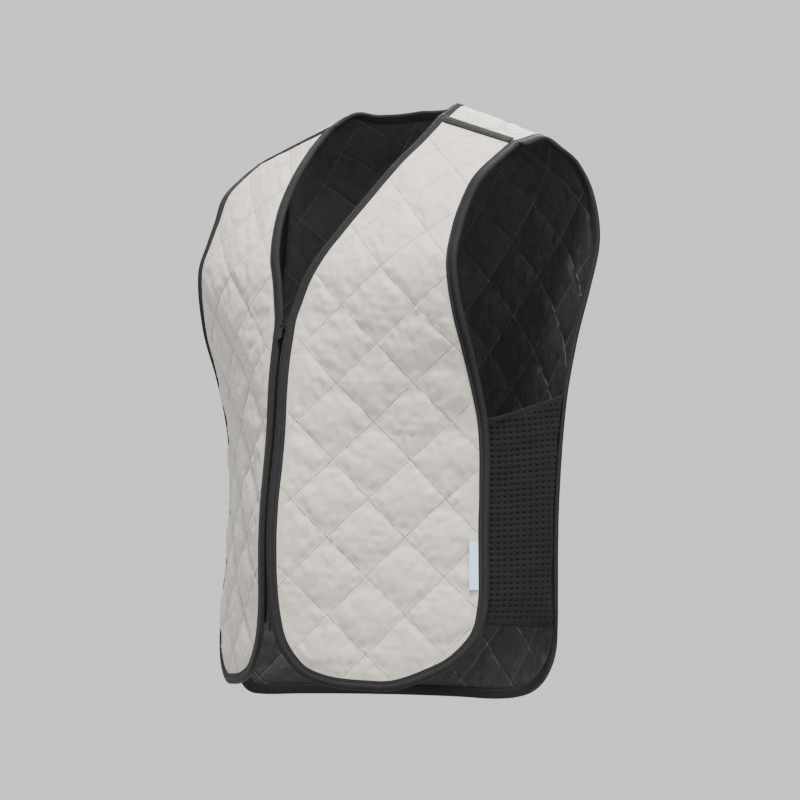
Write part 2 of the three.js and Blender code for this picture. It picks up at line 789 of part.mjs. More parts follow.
// The zip runs down the centre line: a frame of its own at each height.
function zipFrame(up) {
  const step = 2;
  const here = front.place(0, up);
  const along = front.place(0, up + step).sub(front.place(0, up - step)).normalize();
  const sideways = new THREE.Vector3(1, 0, 0);
  return { here, along, sideways, out: sideways.clone().cross(along).normalize() };
}

const zipLift = bindingBottom - 2 * foldGap;
const zipPoint = (frame, x, z) =>
  frame.here.clone().addScaledVector(frame.sideways, x).addScaledVector(frame.out, z);

// How far out from the centre line the zip's tapes lie at this height, and where they start to
// follow the inside of the front.
function zipSeat(up) {
  const frame = zipFrame(up);
  const turn = front.place(zipTurn, up, zipLift);
  return { frame, turn, seat: turn.clone().sub(frame.here).dot(frame.out) };
}

// One cloth tape of the zip, under the front's edge.
function zipTape(name, side) {
  const rings = [];
  for (let i = 0; i <= zipSteps; i++) {
    const up = THREE.MathUtils.lerp(zipBottom, zipTop + 0.012, i / zipSteps) * bodyLength;
    const { frame, turn, seat } = zipSeat(up);
    const upper = [
      zipPoint(frame, zipTapeIn, seat),
      turn,
      front.place(zipTapeOut, up, zipLift),
    ];
    const lower = upper.map((p) => p.clone().addScaledVector(frame.out, -zipTapeCloth));
    rings.push([...upper, ...lower.reverse()].map((p) => mirror(p, side)));
  }
  return swept(name, rings, "tape", zipTapeEnds);
}

// One side of the closed teeth, on top of its tape and between the two bound edges.
function zipTeeth(name, side) {
  const rings = [];
  for (let i = 0; i <= zipSteps; i++) {
    const up = THREE.MathUtils.lerp(zipBottom, zipTop, i / zipSteps) * bodyLength;
    const { frame, seat } = zipSeat(up);
    rings.push(
      [
        [teethGap / 2, layerGap],
        [teethHalf, layerGap],
        [teethHalf * 0.7, layerGap + teethHeight],
        [teethGap / 2, layerGap + teethHeight],
      ].map(([x, z]) => mirror(zipPoint(frame, x, seat + z), side)),
    );
  }
  return swept(name, rings, "black");
}

// A closed solid out of three.js geometry, set down in the zip's own frame at a height.
function hardware(name, geometry, up, look) {
  const { here, along, sideways, out } = zipFrame(up * bodyLength);
  geometry.applyMatrix4(new THREE.Matrix4().makeBasis(sideways, along, out).setPosition(here));
  geometry.translate(0, -seamBehind, -originUp);
  const mesh = new THREE.Mesh(geometry, new THREE.MeshStandardMaterial(cloths[look]));
  mesh.name = name;
  return mesh;
}

// A box given by its limits: sideways, along the zip, and out from the body.
function block([x0, x1], [y0, y1], [z0, z1]) {
  const box = new THREE.BoxGeometry(x1 - x0, y1 - y0, z1 - z0);
  return box.translate((x0 + x1) / 2, (y0 + y1) / 2, (z0 + z1) / 2);
}

async function joined(pieces) {
  const kit = await Module();
  kit.setup();
  const solids = pieces.map((piece) => {
    const welded = mergeVertices(piece.deleteAttribute("normal").deleteAttribute("uv"));
    const vertProperties = Float32Array.from(welded.attributes.position.array);
    const triVerts = Uint32Array.from(welded.index.array);
    return new kit.Manifold(new kit.Mesh({ numProp: 3, vertProperties, triVerts }));
  });
  const { vertProperties, triVerts } = kit.Manifold.union(solids).getMesh();
  const geometry = new THREE.BufferGeometry();
  geometry.setAttribute("position", new THREE.BufferAttribute(vertProperties, 3));
  geometry.setIndex(new THREE.BufferAttribute(triVerts, 1));
  geometry.computeVertexNormals();
  return geometry;
}

const sliderAt = zipTop - (sliderLong / 2 - wedgeLong - layerGap) / bodyLength;
const tapeTop = zipSeat(sliderAt * bodyLength).seat;
const teethTop = tapeTop + layerGap + teethHeight;
const plateTop = teethTop + 2 * layerGap + sliderPlate;
const sliderFoot = tapeTop - zipTapeCloth - 2 * layerGap;
const pullLow = bindingTop + 2 * layerGap; // the pull lies this far out, clear of the tape below
const archFoot = pullLow + pullThick + layerGap;

// Two plates with a wedge between them, and an arch that holds the pull.
async function zipSlider() {
  const half = [-slotHalf, slotHalf];
  const long = [-sliderLong / 2, sliderLong / 2];
  const low = plateTop - sliderPlate / 2;
  const high = archFoot + archBar;
  return joined([
    block(half, long, [plateTop - sliderPlate, plateTop]),
    block(half, long, [sliderFoot - sliderPlate, sliderFoot]),
    block(
      [-wedgeHalf, wedgeHalf],
      [sliderLong / 2 - wedgeLong, sliderLong / 2],
      [sliderFoot - sliderPlate / 2, low],
    ),
    arch(low, high),
  ]);
}

// The slider's arch, drawn from the side: along the zip, and out from the body.
function arch(low, high) {
  const inner = archReach - archPost;
  const corners = [
    [-archReach, low],
    [-inner, low],
    [-inner, archFoot],
    [inner, archFoot],
    [inner, low],
    [archReach, low],
    [archReach, high],
    [-archReach, high],
  ];
  const shape = new THREE.Shape(corners.map(([x, y]) => new THREE.Vector2(x, y)));
  const solid = new THREE.ExtrudeGeometry(shape, { depth: 2 * archHalf, bevelEnabled: false });
  const [x, y, z] = [0, 1, 2].map((i) => new THREE.Vector3().setComponent(i, 1));
  const turned = new THREE.Matrix4().makeBasis(y, z, x);
  return solid.translate(0, 0, -archHalf).applyMatrix4(turned);
}

// A flat bar with an eye round the arch, hanging down from its hinge.
function zipPull() {
  const bar = pullThick / 2;
  const neck = bar + pullEyeLong;
  const shape = new THREE.Shape();
  shape.moveTo(-pullHalf, bar);
  shape.lineTo(-pullHalf, -neck - bar);
  shape.lineTo(-pullHalf * 0.72, -neck - pullHalf);
  shape.lineTo(-pullHalf, -pullLong + pullHalf);
  shape.lineTo(-pullHalf * 0.6, -pullLong);
  shape.lineTo(pullHalf * 0.6, -pullLong);
  shape.lineTo(pullHalf, -pullLong + pullHalf);
  shape.lineTo(pullHalf * 0.72, -neck - pullHalf);
  shape.lineTo(pullHalf, -neck - bar);
  shape.lineTo(pullHalf, bar);
  const eye = new THREE.Path();
  eye.moveTo(-pullEye, -bar);
  eye.lineTo(pullEye, -bar);
  eye.lineTo(pullEye, -neck);
  eye.lineTo(-pullEye, -neck);
  shape.holes.push(eye);
  return new THREE.ExtrudeGeometry(shape, { depth: pullThick, bevelEnabled: false }).translate(
    0,
    0,
    pullLow,
  );
}

function topStop(side) {
  const across = [layerGap, slotHalf].map((x) => x * side).sort((a, b) => a - b);
  const start = sliderLong / 2 + layerGap;
  const low = tapeTop + 2 * layerGap;
  return block(across, [start, start + stopLong], [low, low + stopHigh]);
}

function zipBox() {
  const low = zipSeat(zipBottom * bodyLength).seat - zipTapeCloth;
  const long = [-boxLong - layerGap, -layerGap];
  return block([-slotHalf, slotHalf], long, [low, low + boxHigh]);
}

const vest = new THREE.Group();
vest.name = "cooling_vest";
for (const [hand, side] of [["left", 1], ["right", -1]]) {
  vest.add(clothLayer(`front_${hand}_shell`, front, frontNet, shellLow, shellHigh, "silver", side));
  vest.add(clothLayer(`front_${hand}_lining`, front, frontNet, liningLow, liningHigh, "black", side));
  vest.add(binding(`front_${hand}_binding`, front, frontBound, side));
  vest.add(shoulderTape(`shoulder_tape_${hand}`, side));
  vest.add(sideElastic(`side_elastic_${hand}`, side));
  vest.add(zipTape(`zip_tape_${hand}`, side));
  vest.add(zipTeeth(`zip_teeth_${hand}`, side));
  vest.add(hardware(`zip_top_stop_${hand}`, topStop(side), sliderAt, "metal"));
}
vest.add(clothLayer("back_shell", back, backNet, shellLow, shellHigh, "silver", 1));
vest.add(clothLayer("back_lining", back, backNet, liningLow, liningHigh, "black", 1));
vest.add(binding("back_binding", back, backBound, 1));
vest.add(binding("back_neck_binding", back, neckBound, 1));
vest.add(hardware("zip_slider", await zipSlider(), sliderAt, "metal"));
vest.add(hardware("zip_pull", zipPull(), sliderAt, "metal"));
vest.add(hardware("zip_box", zipBox(), zipBottom, "metal"));
vest.add(sideLabel());

export default vest;
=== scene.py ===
# Looks of the quilted cooling vest: quilted satin with its lining, bound edges, elastic and zip.
import math

import bmesh
import bpy
import numpy as np
from mathutils import Matrix, Vector


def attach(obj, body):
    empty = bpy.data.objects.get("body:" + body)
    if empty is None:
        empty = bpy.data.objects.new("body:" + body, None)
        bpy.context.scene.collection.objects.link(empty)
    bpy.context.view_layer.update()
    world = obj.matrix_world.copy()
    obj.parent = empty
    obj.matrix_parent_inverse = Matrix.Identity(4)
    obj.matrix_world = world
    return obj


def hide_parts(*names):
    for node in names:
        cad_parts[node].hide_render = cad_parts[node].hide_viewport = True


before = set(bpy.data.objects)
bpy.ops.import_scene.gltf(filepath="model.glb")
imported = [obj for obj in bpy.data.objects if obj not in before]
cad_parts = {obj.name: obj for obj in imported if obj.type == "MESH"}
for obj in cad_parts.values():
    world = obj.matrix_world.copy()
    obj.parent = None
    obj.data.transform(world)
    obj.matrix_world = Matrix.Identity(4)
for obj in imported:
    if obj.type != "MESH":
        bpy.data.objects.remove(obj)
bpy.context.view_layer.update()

# The body's sizes in millimetres, the same as the frame's.
bodySizes = {
    "length": 680,
    "frontReach": 187,
    "backReach": 170,
    "frontHalf": 245,
    "backHalf": 275,
    "seamBehind": 22,
    "seamTop": 687,
    "seamFall": 18,
    "seamPitch": 35,
    "seamBlend": 45,
    "neckHalf": 82,
    "tipHalf": 202,
}
quiltSizes = {
    "square": 60,
    "start": {"front": (27, 63.2), "back": (0, 19)},
    "simCells": 14,
    "frontStep": 3,
    "backStep": 4,
    "liningStep": 5,
    "liningShare": 0.85,
    "leastRise": -0.3,
    "seamNear": 1.1,
    "shellTop": 1.35,
    "liningLow": -1.15,
    "edgeInset": 3.5,
    "seamInset": 1.2,
    "flatBand": 10.3,
    "fade": 9,
    "stitchPitch": 3.6,
}
tapeSizes = {
    "band": 10.5,
    "cloth": 1.0,
    "bend": 1.0,
    "gap": 0.3,
    "hollow": 0.7,
    "step": 3.0,
    "seamHalf": 6.5,
    "stitchIn": 2.2,
    "ripple": 0.16,
    "ripplePitch": 17,
    "wander": 0.3,
    "wanderPitch": 60,
    "stitchPitch": 3.4,
}

# The body under each panel, row by row: height and reach as shares of the length and of the panel's
# reach, how far the cloth turns at the centre and at the side, and how far it falls outwards, in degrees.
frontRows = [
    (-0.018, 0.99, 25, 45, 0),
    (0.143, 0.98, 27, 46, 0),
    (0.294, 0.988, 31, 47, 0),
    (0.441, 0.918, 27, 46, 0),
    (0.544, 0.878, 20, 43, 0),
    (0.632, 0.807, 10, 37, 0),
    (0.721, 0.727, 4, 31, 0),
    (0.779, 0.61, 3, 27, 1),
    (0.824, 0.492, 2, 21, 3),
    (0.89, 0.289, 0, 8, 7.5),
    (0.956, 0.07, 0, 3, 13),
]
backRows = [
    (-0.018, 0.955, 0, 58, 0),
    (0.147, 0.945, 0, 57, 0),
    (0.324, 0.94, 0, 56, 0),
    (0.493, 0.95, 0, 52, 0),
    (0.603, 0.965, 0, 45.5, 0),
    (0.691, 0.955, 0, 36, 0),
    (0.772, 0.925, 0, 27, 0.5),
    (0.857, 0.853, 0, 23.5, 2),
    (0.926, 0.735, 0, 22, 6),
    (0.985, 0.559, 0, 17, 12.5),
    (1.039, 0.382, 0, 7, 20),
]
# Cut edges: across as a share of the panel's half width, up as a share of the body's length.
frontEdge = [
    (0.333, 1.044), (0.318, 0.992), (0.289, 0.943), (0.257, 0.886), (0.228, 0.843), (0.178, 0.789),
    (0.12, 0.739), (0.074, 0.703), (0.042, 0.664), (0.022, 0.636), (0.0175, 0.6), (0.0175, 0.4),
    (0.0175, 0.21), (0.029, 0.155), (0.059, 0.111), (0.11, 0.081), (0.173, 0.059), (0.294, 0.043),
    (0.451, 0.037), (0.583, 0.037), (0.748, 0.057), (0.866, 0.082), (0.959, 0.121), (0.992, 0.167),
    (1.0, 0.275), (0.99, 0.362), (0.961, 0.465), (0.897, 0.567), (0.838, 0.648), (0.81, 0.706),
    (0.79, 0.764), (0.775, 0.826), (0.79, 0.897),
]
backSideEdge = [
    (0.756, 1.03), (0.786, 0.98), (0.817, 0.93), (0.848, 0.88), (0.878, 0.83), (0.899, 0.78),
    (0.908, 0.73), (0.91, 0.68), (0.912, 0.607), (0.92, 0.493), (0.93, 0.4), (0.938, 0.3),
    (0.942, 0.2),
]
backLeftCorner = [
    (0.938, 0.155), (0.92, 0.126), (0.872, 0.103), (0.8, 0.083), (0.71, 0.061), (0.6, 0.037),
    (0.473, 0.017), (0.345, 0.006), (0.18, 0.0), (0.0, 0.0),
]
backRightCorner = [
    (0.957, 0.14), (0.983, 0.09), (1.005, 0.056), (1.01, 0.034), (0.998, 0.016), (0.965, 0.004),
    (0.91, 0.0), (0.75, 0.0), (0.5, 0.0), (0.25, 0.0), (0.0, 0.0),
]
backNeckEdge = [
    (0.297, 1.075), (0.284, 1.05), (0.24, 1.034), (0.16, 1.028), (0.08, 1.026), (0.0, 1.026),
]

seamMiddle = (bodySizes["neckHalf"] + bodySizes["tipHalf"]) / 2
originUp = bodySizes["seamTop"] - seamMiddle * math.sin(math.radians(bodySizes["seamFall"]))
vestBody = "vest"


def metres(points):
    shift = np.array([0, bodySizes["seamBehind"], originUp])
    return (np.asarray(points) - shift) / 1000


def unit(vectors):
    return vectors / np.maximum(np.linalg.norm(vectors, axis=-1, keepdims=True), 1e-12)


def ease(values):
    t = np.clip(values, 0, 1)
    return t * t * (3 - 2 * t)


def runOf(points):
    # The distance along a line to each of its points.
    return np.concatenate([[0], np.cumsum(np.linalg.norm(np.diff(points, axis=0), axis=1))])


def onLine(steps, run, values):
    # What a line's points hold, at other distances along it.
    return np.stack([np.interp(steps, run, column) for column in values.T], axis=1)


class Surface:
    # The body's surface under one panel. facing is -1 for the front and 1 for the back.
    def __init__(self, rows, reach, half, facing):
        self.facing = facing
        self.half = half
        table = np.array(rows)
        seam = [bodySizes["seamTop"], bodySizes["seamBehind"], 0, 0, math.radians(bodySizes["seamFall"])]
        table[:, 0] *= bodySizes["length"]
        table[:, 1] *= reach * facing
        table[:, 2:] = np.radians(table[:, 2:])
        self.table = np.vstack([table, seam])
        middle = self.lay(self.table, np.full(len(self.table), half / 2))
        self.stations = self.table[0, 0] + runOf(middle)
        k = np.arange(len(self.table))
        after, before = np.minimum(k + 1, k[-1]), np.maximum(k - 1, 0)
        rise = self.table[after] - self.table[before]
        self.slopes = rise / (self.stations[after] - self.stations[before])[:, None]
        self.rowSteps = 150
        self.rowAt = np.linspace(self.stations[0], self.stations[-1], self.rowSteps + 1)
        self.columnStep = 10
        columns = np.arange(0, half + 4.5 * self.columnStep, self.columnStep)
        across, rows = np.meshgrid(columns, self.rowAt, indexing="ij")
        points = self.at(across.ravel(), rows.ravel()).reshape(*across.shape, 3)
        climbs = np.linalg.norm(np.diff(points, axis=1), axis=2)
        start = np.full((len(columns), 1), self.stations[0])
        self.net = np.hstack([start, self.stations[0] + np.cumsum(climbs, axis=1)])

    def lay(self, levels, across):
        z, y, turnIn, turnOut, fall = levels.T
        u = np.abs(across) * np.cos(fall)
        bend = (turnOut - turnIn) / self.half
        end = turnIn + bend * u
        flat = np.abs(bend) < 1e-7
        safe = np.where(flat, 1, bend)
        x = np.where(flat, u * np.cos(end), (np.sin(end) - np.sin(turnIn)) / safe)
        dy = np.where(flat, u * np.sin(end), (np.cos(turnIn) - np.cos(end)) / safe)
        x = x * np.where(across < 0, -1, 1)
        return np.stack([x, y - dy * self.facing, z - np.abs(across) * np.sin(fall)], axis=1)

    def at(self, across, row):
        k = np.clip(np.searchsorted(self.stations, row, side="right") - 1, 0, len(self.stations) - 2)
        gap = (self.stations[k + 1] - self.stations[k])[:, None]
        t = (row - self.stations[k])[:, None] / gap
        h = t * t * (3 - 2 * t)
        bow = gap * (self.slopes[k] * t * (1 - t) ** 2 - self.slopes[k + 1] * t * t * (1 - t))
        levels = self.table[k] * (1 - h) + self.table[k + 1] * h + bow
        return self.lay(levels, across)

    def heights(self, across):
        i = np.minimum(np.abs(across) / self.columnStep, len(self.net) - 1.001)
        low = np.floor(i).astype(int)
        return self.net[low] + (self.net[low + 1] - self.net[low]) * (i % 1)[:, None]

    def seamUp(self, across):
        return self.heights(np.atleast_1d(np.asarray(across, float)))[:, -1]

    def rowOf(self, across, up):
        rows = np.empty(len(across))
        for start in range(0, len(across), 20000):
            part = slice(start, start + 20000)
            heights = self.heights(across[part])
            k = (heights[:, 1:-1] < up[part, None]).sum(axis=1)
            each = np.arange(len(k))
            share = (up[part] - heights[each, k]) / (heights[each, k + 1] - heights[each, k])
            rows[part] = self.rowAt[k] + (self.rowAt[k + 1] - self.rowAt[k]) * share
        return rows

    def normals(self, across, up, row=None):
        row = self.rowOf(across, up) if row is None else row
        side = np.where(across < 0, -1.0, 1.0)
        here = self.at(across, row)
        sideways = (self.at(across + side, row) - here) * side[:, None]
        upwards = here - self.at(across, row - 1)
        out = unit(np.cross(sideways, upwards)) * -self.facing
        near = ease(1 - np.maximum(self.seamUp(across) - up, 0) / bodySizes["seamBlend"])[:, None]
        fall, pitch = math.radians(bodySizes["seamFall"]), math.radians(bodySizes["seamPitch"])
        x = side * math.sin(fall) * math.cos(pitch)
        y = np.full_like(x, -math.cos(fall) * math.sin(pitch))
        z = np.full_like(x, math.cos(fall) * math.cos(pitch))
        seam = unit(np.stack([x, y, z], axis=1))
        return here, unit(out * (1 - near) + seam * near)

    def place(self, across, up, lift=0.0):
        across = np.atleast_1d(np.asarray(across, float))
        up = np.broadcast_to(np.asarray(up, float), across.shape)
        here, out = self.normals(across, up)
        return here + out * np.broadcast_to(np.asarray(lift, float), across.shape)[:, None]


front = Surface(frontRows, bodySizes["frontReach"], bodySizes["frontHalf"], -1)
back = Surface(backRows, bodySizes["backReach"], bodySizes["backHalf"], 1)
surfaces = {"front": front, "back": back}


def curveThrough(points, step):
    # The centripetal curve that the frame's edges follow, at even steps.
    p = np.array(points, float)
    p = np.vstack([2 * p[0] - p[1], p, 2 * p[-1] - p[-2]])
    fine = [p[1]]
    for i in range(len(p) - 3):
        a, b, c, d = p[i : i + 4]
        da, db, dc = [max(np.linalg.norm(q) ** 0.5, 1e-4) for q in (b - a, c - b, d - c)]
        t1 = ((b - a) / da - (c - a) / (da + db) + (c - b) / db) * db
        t2 = ((c - b) / db - (d - b) / (db + dc) + (d - c) / dc) * db
        bend, twist = 3 * (c - b) - 2 * t1 - t2, 2 * (b - c) + t1 + t2
        fine += [b + t1 * t + bend * t * t + twist * t**3 for t in np.linspace(0, 1, 25)[1:]]
    fine = np.array(fine)
    run = runOf(fine)
    even = np.linspace(0, run[-1], max(2, round(run[-1] / step) + 1))
    return onLine(even, run, fine)


def inwardOf(points, ends):
    tangent = unit(np.gradient(points, axis=0))
    inward = np.stack([-tangent[:, 1], tangent[:, 0]], axis=1)
    reach = 5
    for k in range(reach):
        w = 1 - k / reach
        inward[k] = inward[k] * (1 - w) + ends[0] * w
        inward[-1 - k] = inward[-1 - k] * (1 - w) + ends[1] * w
    return unit(inward)


def seamWay(surface, across):
    rise = surface.seamUp([across + 1])[0] - surface.seamUp([across])[0]
    return unit(np.array([1.0, rise]))


def onSeam(surface, across):
    return (across, surface.seamUp([across])[0] - 0.2)


def edgeLines():
    # Each cut edge as its points on the flat cloth and the way into the cloth.
    scale = lambda rows, half: [(a * half, b * bodySizes["length"]) for a, b in rows]
    neck, tip = bodySizes["neckHalf"], bodySizes["tipHalf"]
    whole = [onSeam(front, neck), *scale(frontEdge, bodySizes["frontHalf"]), onSeam(front, tip)]
    line = curveThrough(whole, tapeSizes["step"])
    edges = {"front": (line, inwardOf(line, [seamWay(front, neck), -seamWay(front, tip)]))}
    flip = np.array([-1, 1])
    halves = []
    for corner in (backLeftCorner, backRightCorner):
        side = scale(backSideEdge + corner, bodySizes["backHalf"])[::-1]
        half = curveThrough([*side, onSeam(back, tip)], tapeSizes["step"])
        halves.append((half, inwardOf(half, [np.array([0.0, 1.0]), -seamWay(back, tip)])))
    (left, leftIn), (right, rightIn) = halves
    edges["back"] = [np.vstack([(a * flip)[:0:-1], b]) for a, b in ((right, left), (rightIn, leftIn))]
    half = curveThrough([onSeam(back, neck), *scale(backNeckEdge, bodySizes["backHalf"])], tapeSizes["step"])
    inward = inwardOf(half, [seamWay(back, neck), np.array([0.0, -1.0])])
    edges["neck"] = [np.vstack([a, (a * flip)[-2::-1]]) for a in (half, inward)]
    return edges


cutEdges = edgeLines()


def outlineOf(panel):
    steps = np.linspace(bodySizes["tipHalf"], bodySizes["neckHalf"], 20)
    seam = np.array([onSeam(surfaces[panel], a) for a in steps])
    if panel == "front":
        return np.vstack([cutEdges["front"][0], seam])
    return np.vstack([cutEdges["back"][0], seam, cutEdges["neck"][0], (seam * [-1, 1])[::-1]])


def cutOf(outline):
    # A flat panel's width, length and area, in metres.
    wide, tall = (outline.max(axis=0) - outline.min(axis=0)) / 1000
    x, y = outline.T
    area = abs(x @ np.roll(y, -1) - y @ np.roll(x, -1)) / 2e6
    return (float(wide), float(tall)), float(area)


def panelEdge(panel):
    return np.vstack([cutEdges[key][0] for key in (("front",) if panel == "front" else ("back", "neck"))])


def insideOf(points, outline):
    # Which points lie within a closed outline.
    a, b = outline, np.roll(outline, -1, axis=0)
    odd = np.zeros(len(points), bool)
    for (ax, ay), (bx, by) in zip(a, b):
        if ay == by:
            continue
        crosses = (ay > points[:, 1]) != (by > points[:, 1])
        odd ^= crosses & (points[:, 0] < (bx - ax) * (points[:, 1] - ay) / (by - ay) + ax)
    return odd


def distanceTo(points, line):
    near = np.full(len(points), 1e9)
    for p in line:
        near = np.minimum(near, np.hypot(points[:, 0] - p[0], points[:, 1] - p[1]))
    return near


def newMesh(name, verts, faces):
    mesh = bpy.data.meshes.new(name)
    mesh.from_pydata([tuple(v) for v in verts], [], [tuple(f) for f in faces])
    mesh.polygons.foreach_set("use_smooth", [True] * len(mesh.polygons))
    return mesh


def newObject(name, data):
    obj = bpy.data.objects.new(name, data)
    bpy.context.scene.collection.objects.link(obj)
    return obj


def meshObject(name, verts, faces, uvs=None):
    mesh = newMesh(name, verts, faces)
    if uvs is not None:
        layer = mesh.uv_layers.new(name="UVMap")
        loops = np.empty(len(mesh.loops), int)
        mesh.loops.foreach_get("vertex_index", loops)
        layer.data.foreach_set("uv", np.asarray(uvs)[loops].ravel().astype(np.float32))
    mesh.update()
    return newObject(name, mesh)


def faceOutwards(obj):
    b = bmesh.new()
    b.from_mesh(obj.data)
    bmesh.ops.recalc_face_normals(b, faces=b.faces)
    b.to_mesh(obj.data)
    b.free()


def waves(points, seed, size, count=24):
    # Smooth, seeded unevenness between about -1 and 1.
    rng = np.random.default_rng(seed)
    total = np.zeros(len(points))
    for _ in range(count):
        angle, phase = rng.uniform(0, 2 * math.pi, 2)
        pitch = size * rng.uniform(0.6, 1.7)
        way = points[:, 0] * math.cos(angle) + points[:, 1] * math.sin(angle)
        total += np.sin(way * 2 * math.pi / pitch + phase)
    return total / math.sqrt(count)


# The quilted cloths.


def cellMarks(step):
    # Net lines across one stitched square, as shares of its side, with a pair close to the seam.
    near, side = quiltSizes["seamNear"], quiltSizes["square"]
    inner = np.linspace(near * 2.5, side - near * 2.5, max(3, round((side - 5 * near) / step) + 1))
    return np.concatenate([[0, near], inner, [side - near]]) / side


def quiltNet(panel, marks):
    # A net on the flat cloth whose lines run along the stitched seams. marks are its lines in a square.
    surface = surfaces[panel]
    first, row = quiltSizes["start"][panel]
    outline = outlineOf(panel)
    low, high = outline.min(axis=0), outline.max(axis=0)
    cells = int((high - low).sum() / quiltSizes["square"]) + 4
    lines = (np.arange(-cells, cells)[:, None] + marks).ravel()
    place = np.arange(len(lines)) % len(marks)
    i, j = np.meshgrid(lines, lines, indexing="ij")
    step = quiltSizes["square"] / math.sqrt(2)
    points = np.stack([(i - j) * step + first, (i + j) * step + row], axis=-1)
    keep = ((points > low) & (points < high)).all(axis=-1)
    ids = np.full(keep.shape, -1)
    flat = points[keep]
    inside = insideOf(flat, outline)
    edge = distanceTo(flat, panelEdge(panel))
    seam = surface.seamUp(flat[:, 0]) - flat[:, 1]
    good = inside & (edge > quiltSizes["edgeInset"]) & (seam > quiltSizes["seamInset"])
    where = np.argwhere(keep)[good]
    flat, edge, seam = flat[good], edge[good], seam[good]
    ids[where[:, 0], where[:, 1]] = np.arange(len(flat))
    corners = np.stack([ids[:-1, :-1], ids[1:, :-1], ids[1:, 1:], ids[:-1, 1:]], axis=-1)
    faces = corners[(corners >= 0).all(axis=-1)]
    used = np.zeros(len(flat), bool)
    used[faces.ravel()] = True
    renumber = np.cumsum(used) - 1
    where = where[used]
    cell = lines[where]
    return {
        "panel": panel,
        "surface": surface,
        "flat": flat[used],
        "faces": renumber[faces],
        "line": (place[where] == 0).any(axis=1),
        "cell": cell,
        "wave": np.abs(np.sin(math.pi * cell)).prod(axis=1),
        "band": np.minimum(edge, seam + 3.5)[used],
        "cells": cells,
    }


creaseSizes = {
    "deep": 1.6,
    "lining": 2.0,
    "size": 34,
    "line": 0.14,
    "patch": 75,
    "fine": 0.3,
    "finePitch": 15,
    "pucker": 0.5,
    "puckerPitch": 7.5,
    "puckerReach": 4,
    "rim": 0.42,
    "rimPitch": 11,
    "rimReach": 8,
}


def creasesOn(net, seed, deep):
    # Folds that wander over the squares, and small puckers beside each row of stitches.
    flat, cell = net["flat"], net["cell"]
    wander = waves(flat * [1, 1.25], seed, creaseSizes["size"])
    where = ease(waves(flat, seed + 1, creaseSizes["patch"]) * 1.4 + 0.55)
    folds = -np.exp(-((wander / creaseSizes["line"]) ** 2)) * where * net["wave"] ** 0.35
    fine = waves(flat, seed + 2, creaseSizes["finePitch"]) * creaseSizes["fine"]
    side, reach = quiltSizes["square"], creaseSizes["puckerReach"]
    pucker = np.zeros(len(flat))
    for k in (0, 1):
        toSeam = np.abs(cell[:, k] - np.round(cell[:, k])) * side
        run = np.stack([cell[:, 1 - k] * side, np.round(cell[:, k]) * 37.0], axis=1)
        ripple = waves(run, seed + 3 + k, creaseSizes["puckerPitch"], 12)
        pucker += ripple * toSeam / reach * np.exp(1 - toSeam / reach)
    return deep * (folds + fine) + creaseSizes["pucker"] * pucker


def rimPuckers(net, seed):
    # Small gathers where the binding holds the quilted cloth.
    off = np.maximum(net["band"] - quiltSizes["flatBand"], 0)
    ripple = waves(net["flat"], seed, creaseSizes["rimPitch"], 16)
    return creaseSizes["rim"] * ripple * ease(off / 2.5) * np.exp(-off / creaseSizes["rimReach"])


def sampleCells(simNet, values, cell):
    # The simulated net's values at any place in its squares.
    n = quiltSizes["simCells"]
    span = simNet["cells"] * n
    grid = np.zeros((2 * span + 2, 2 * span + 2, values.shape[1]))
    k = np.rint(simNet["cell"] * n).astype(int) + span
    grid[k[:, 0], k[:, 1]] = values
    at = cell * n + span
    low = np.floor(at + 1e-9).astype(int)
    fx, fy = (at - low).T
    fx, fy = fx[:, None], fy[:, None]
    i, j = low.T
    near = grid[i, j] * (1 - fx) * (1 - fy) + grid[i + 1, j] * fx * (1 - fy)
    return near + grid[i, j + 1] * (1 - fx) * fy + grid[i + 1, j + 1] * fx * fy


simSettings = {
    "frames": 18,
    "shrink": -0.022,
    "pressure": 6.5,
    "bending": 0.02,
    "stiffness": 12,
    "startRise": 0.5,
    "quickRise": 3.2,
    "leastRise": -0.4,
    "mostRise": 6.0,
    "mostShift": 0.002,
}


def simulate(obj, pins):
    group = obj.vertex_groups.new(name="sewn")
    group.add([int(i) for i in np.flatnonzero(pins)], 1.0, "REPLACE")
    cloth = obj.modifiers.new("cloth", "CLOTH")
    settings = cloth.settings
    settings.quality = 5
    settings.mass = 0.01
    settings.tension_stiffness = simSettings["stiffness"]
    settings.compression_stiffness = simSettings["stiffness"]
    settings.shear_stiffness = simSettings["stiffness"] / 3
    settings.bending_stiffness = simSettings["bending"]
    settings.vertex_group_mass = "sewn"
    settings.shrink_min = simSettings["shrink"]
    settings.shrink_max = simSettings["shrink"]
    settings.use_pressure = True
    settings.uniform_pressure_force = simSettings["pressure"]
    settings.effector_weights.gravity = 0
    cloth.collision_settings.use_collision = False
    cloth.point_cache.frame_start = 1
    cloth.point_cache.frame_end = simSettings["frames"]
    scene = bpy.context.scene
    for step in range(1, simSettings["frames"] + 1):
        scene.frame_set(step)
    shown = obj.evaluated_get(bpy.context.evaluated_depsgraph_get())
    result = np.array([v.co[:] for v in shown.data.vertices])
    obj.modifiers.remove(cloth)
    obj.vertex_groups.remove(group)
    scene.frame_set(1)
    return result


def onBody(net, side, lift):
    # The net laid on the body, the way out at each point, and how free the cloth is to swell there.
    mirror = np.array([side, 1, 1])
    base = metres(net["surface"].place(*net["flat"].T, lift)) * mirror
    out = net["surface"].normals(*net["flat"].T)[1] * mirror
    return base, out, ease((net["band"] - quiltSizes["flatBand"]) / quiltSizes["fade"])


def facesOf(net, side, inner):
    # The net's faces, turned to look out of the cloth.
    outwards = net["surface"] is front and side > 0
    return net["faces"] if outwards != inner else net["faces"][:, ::-1]


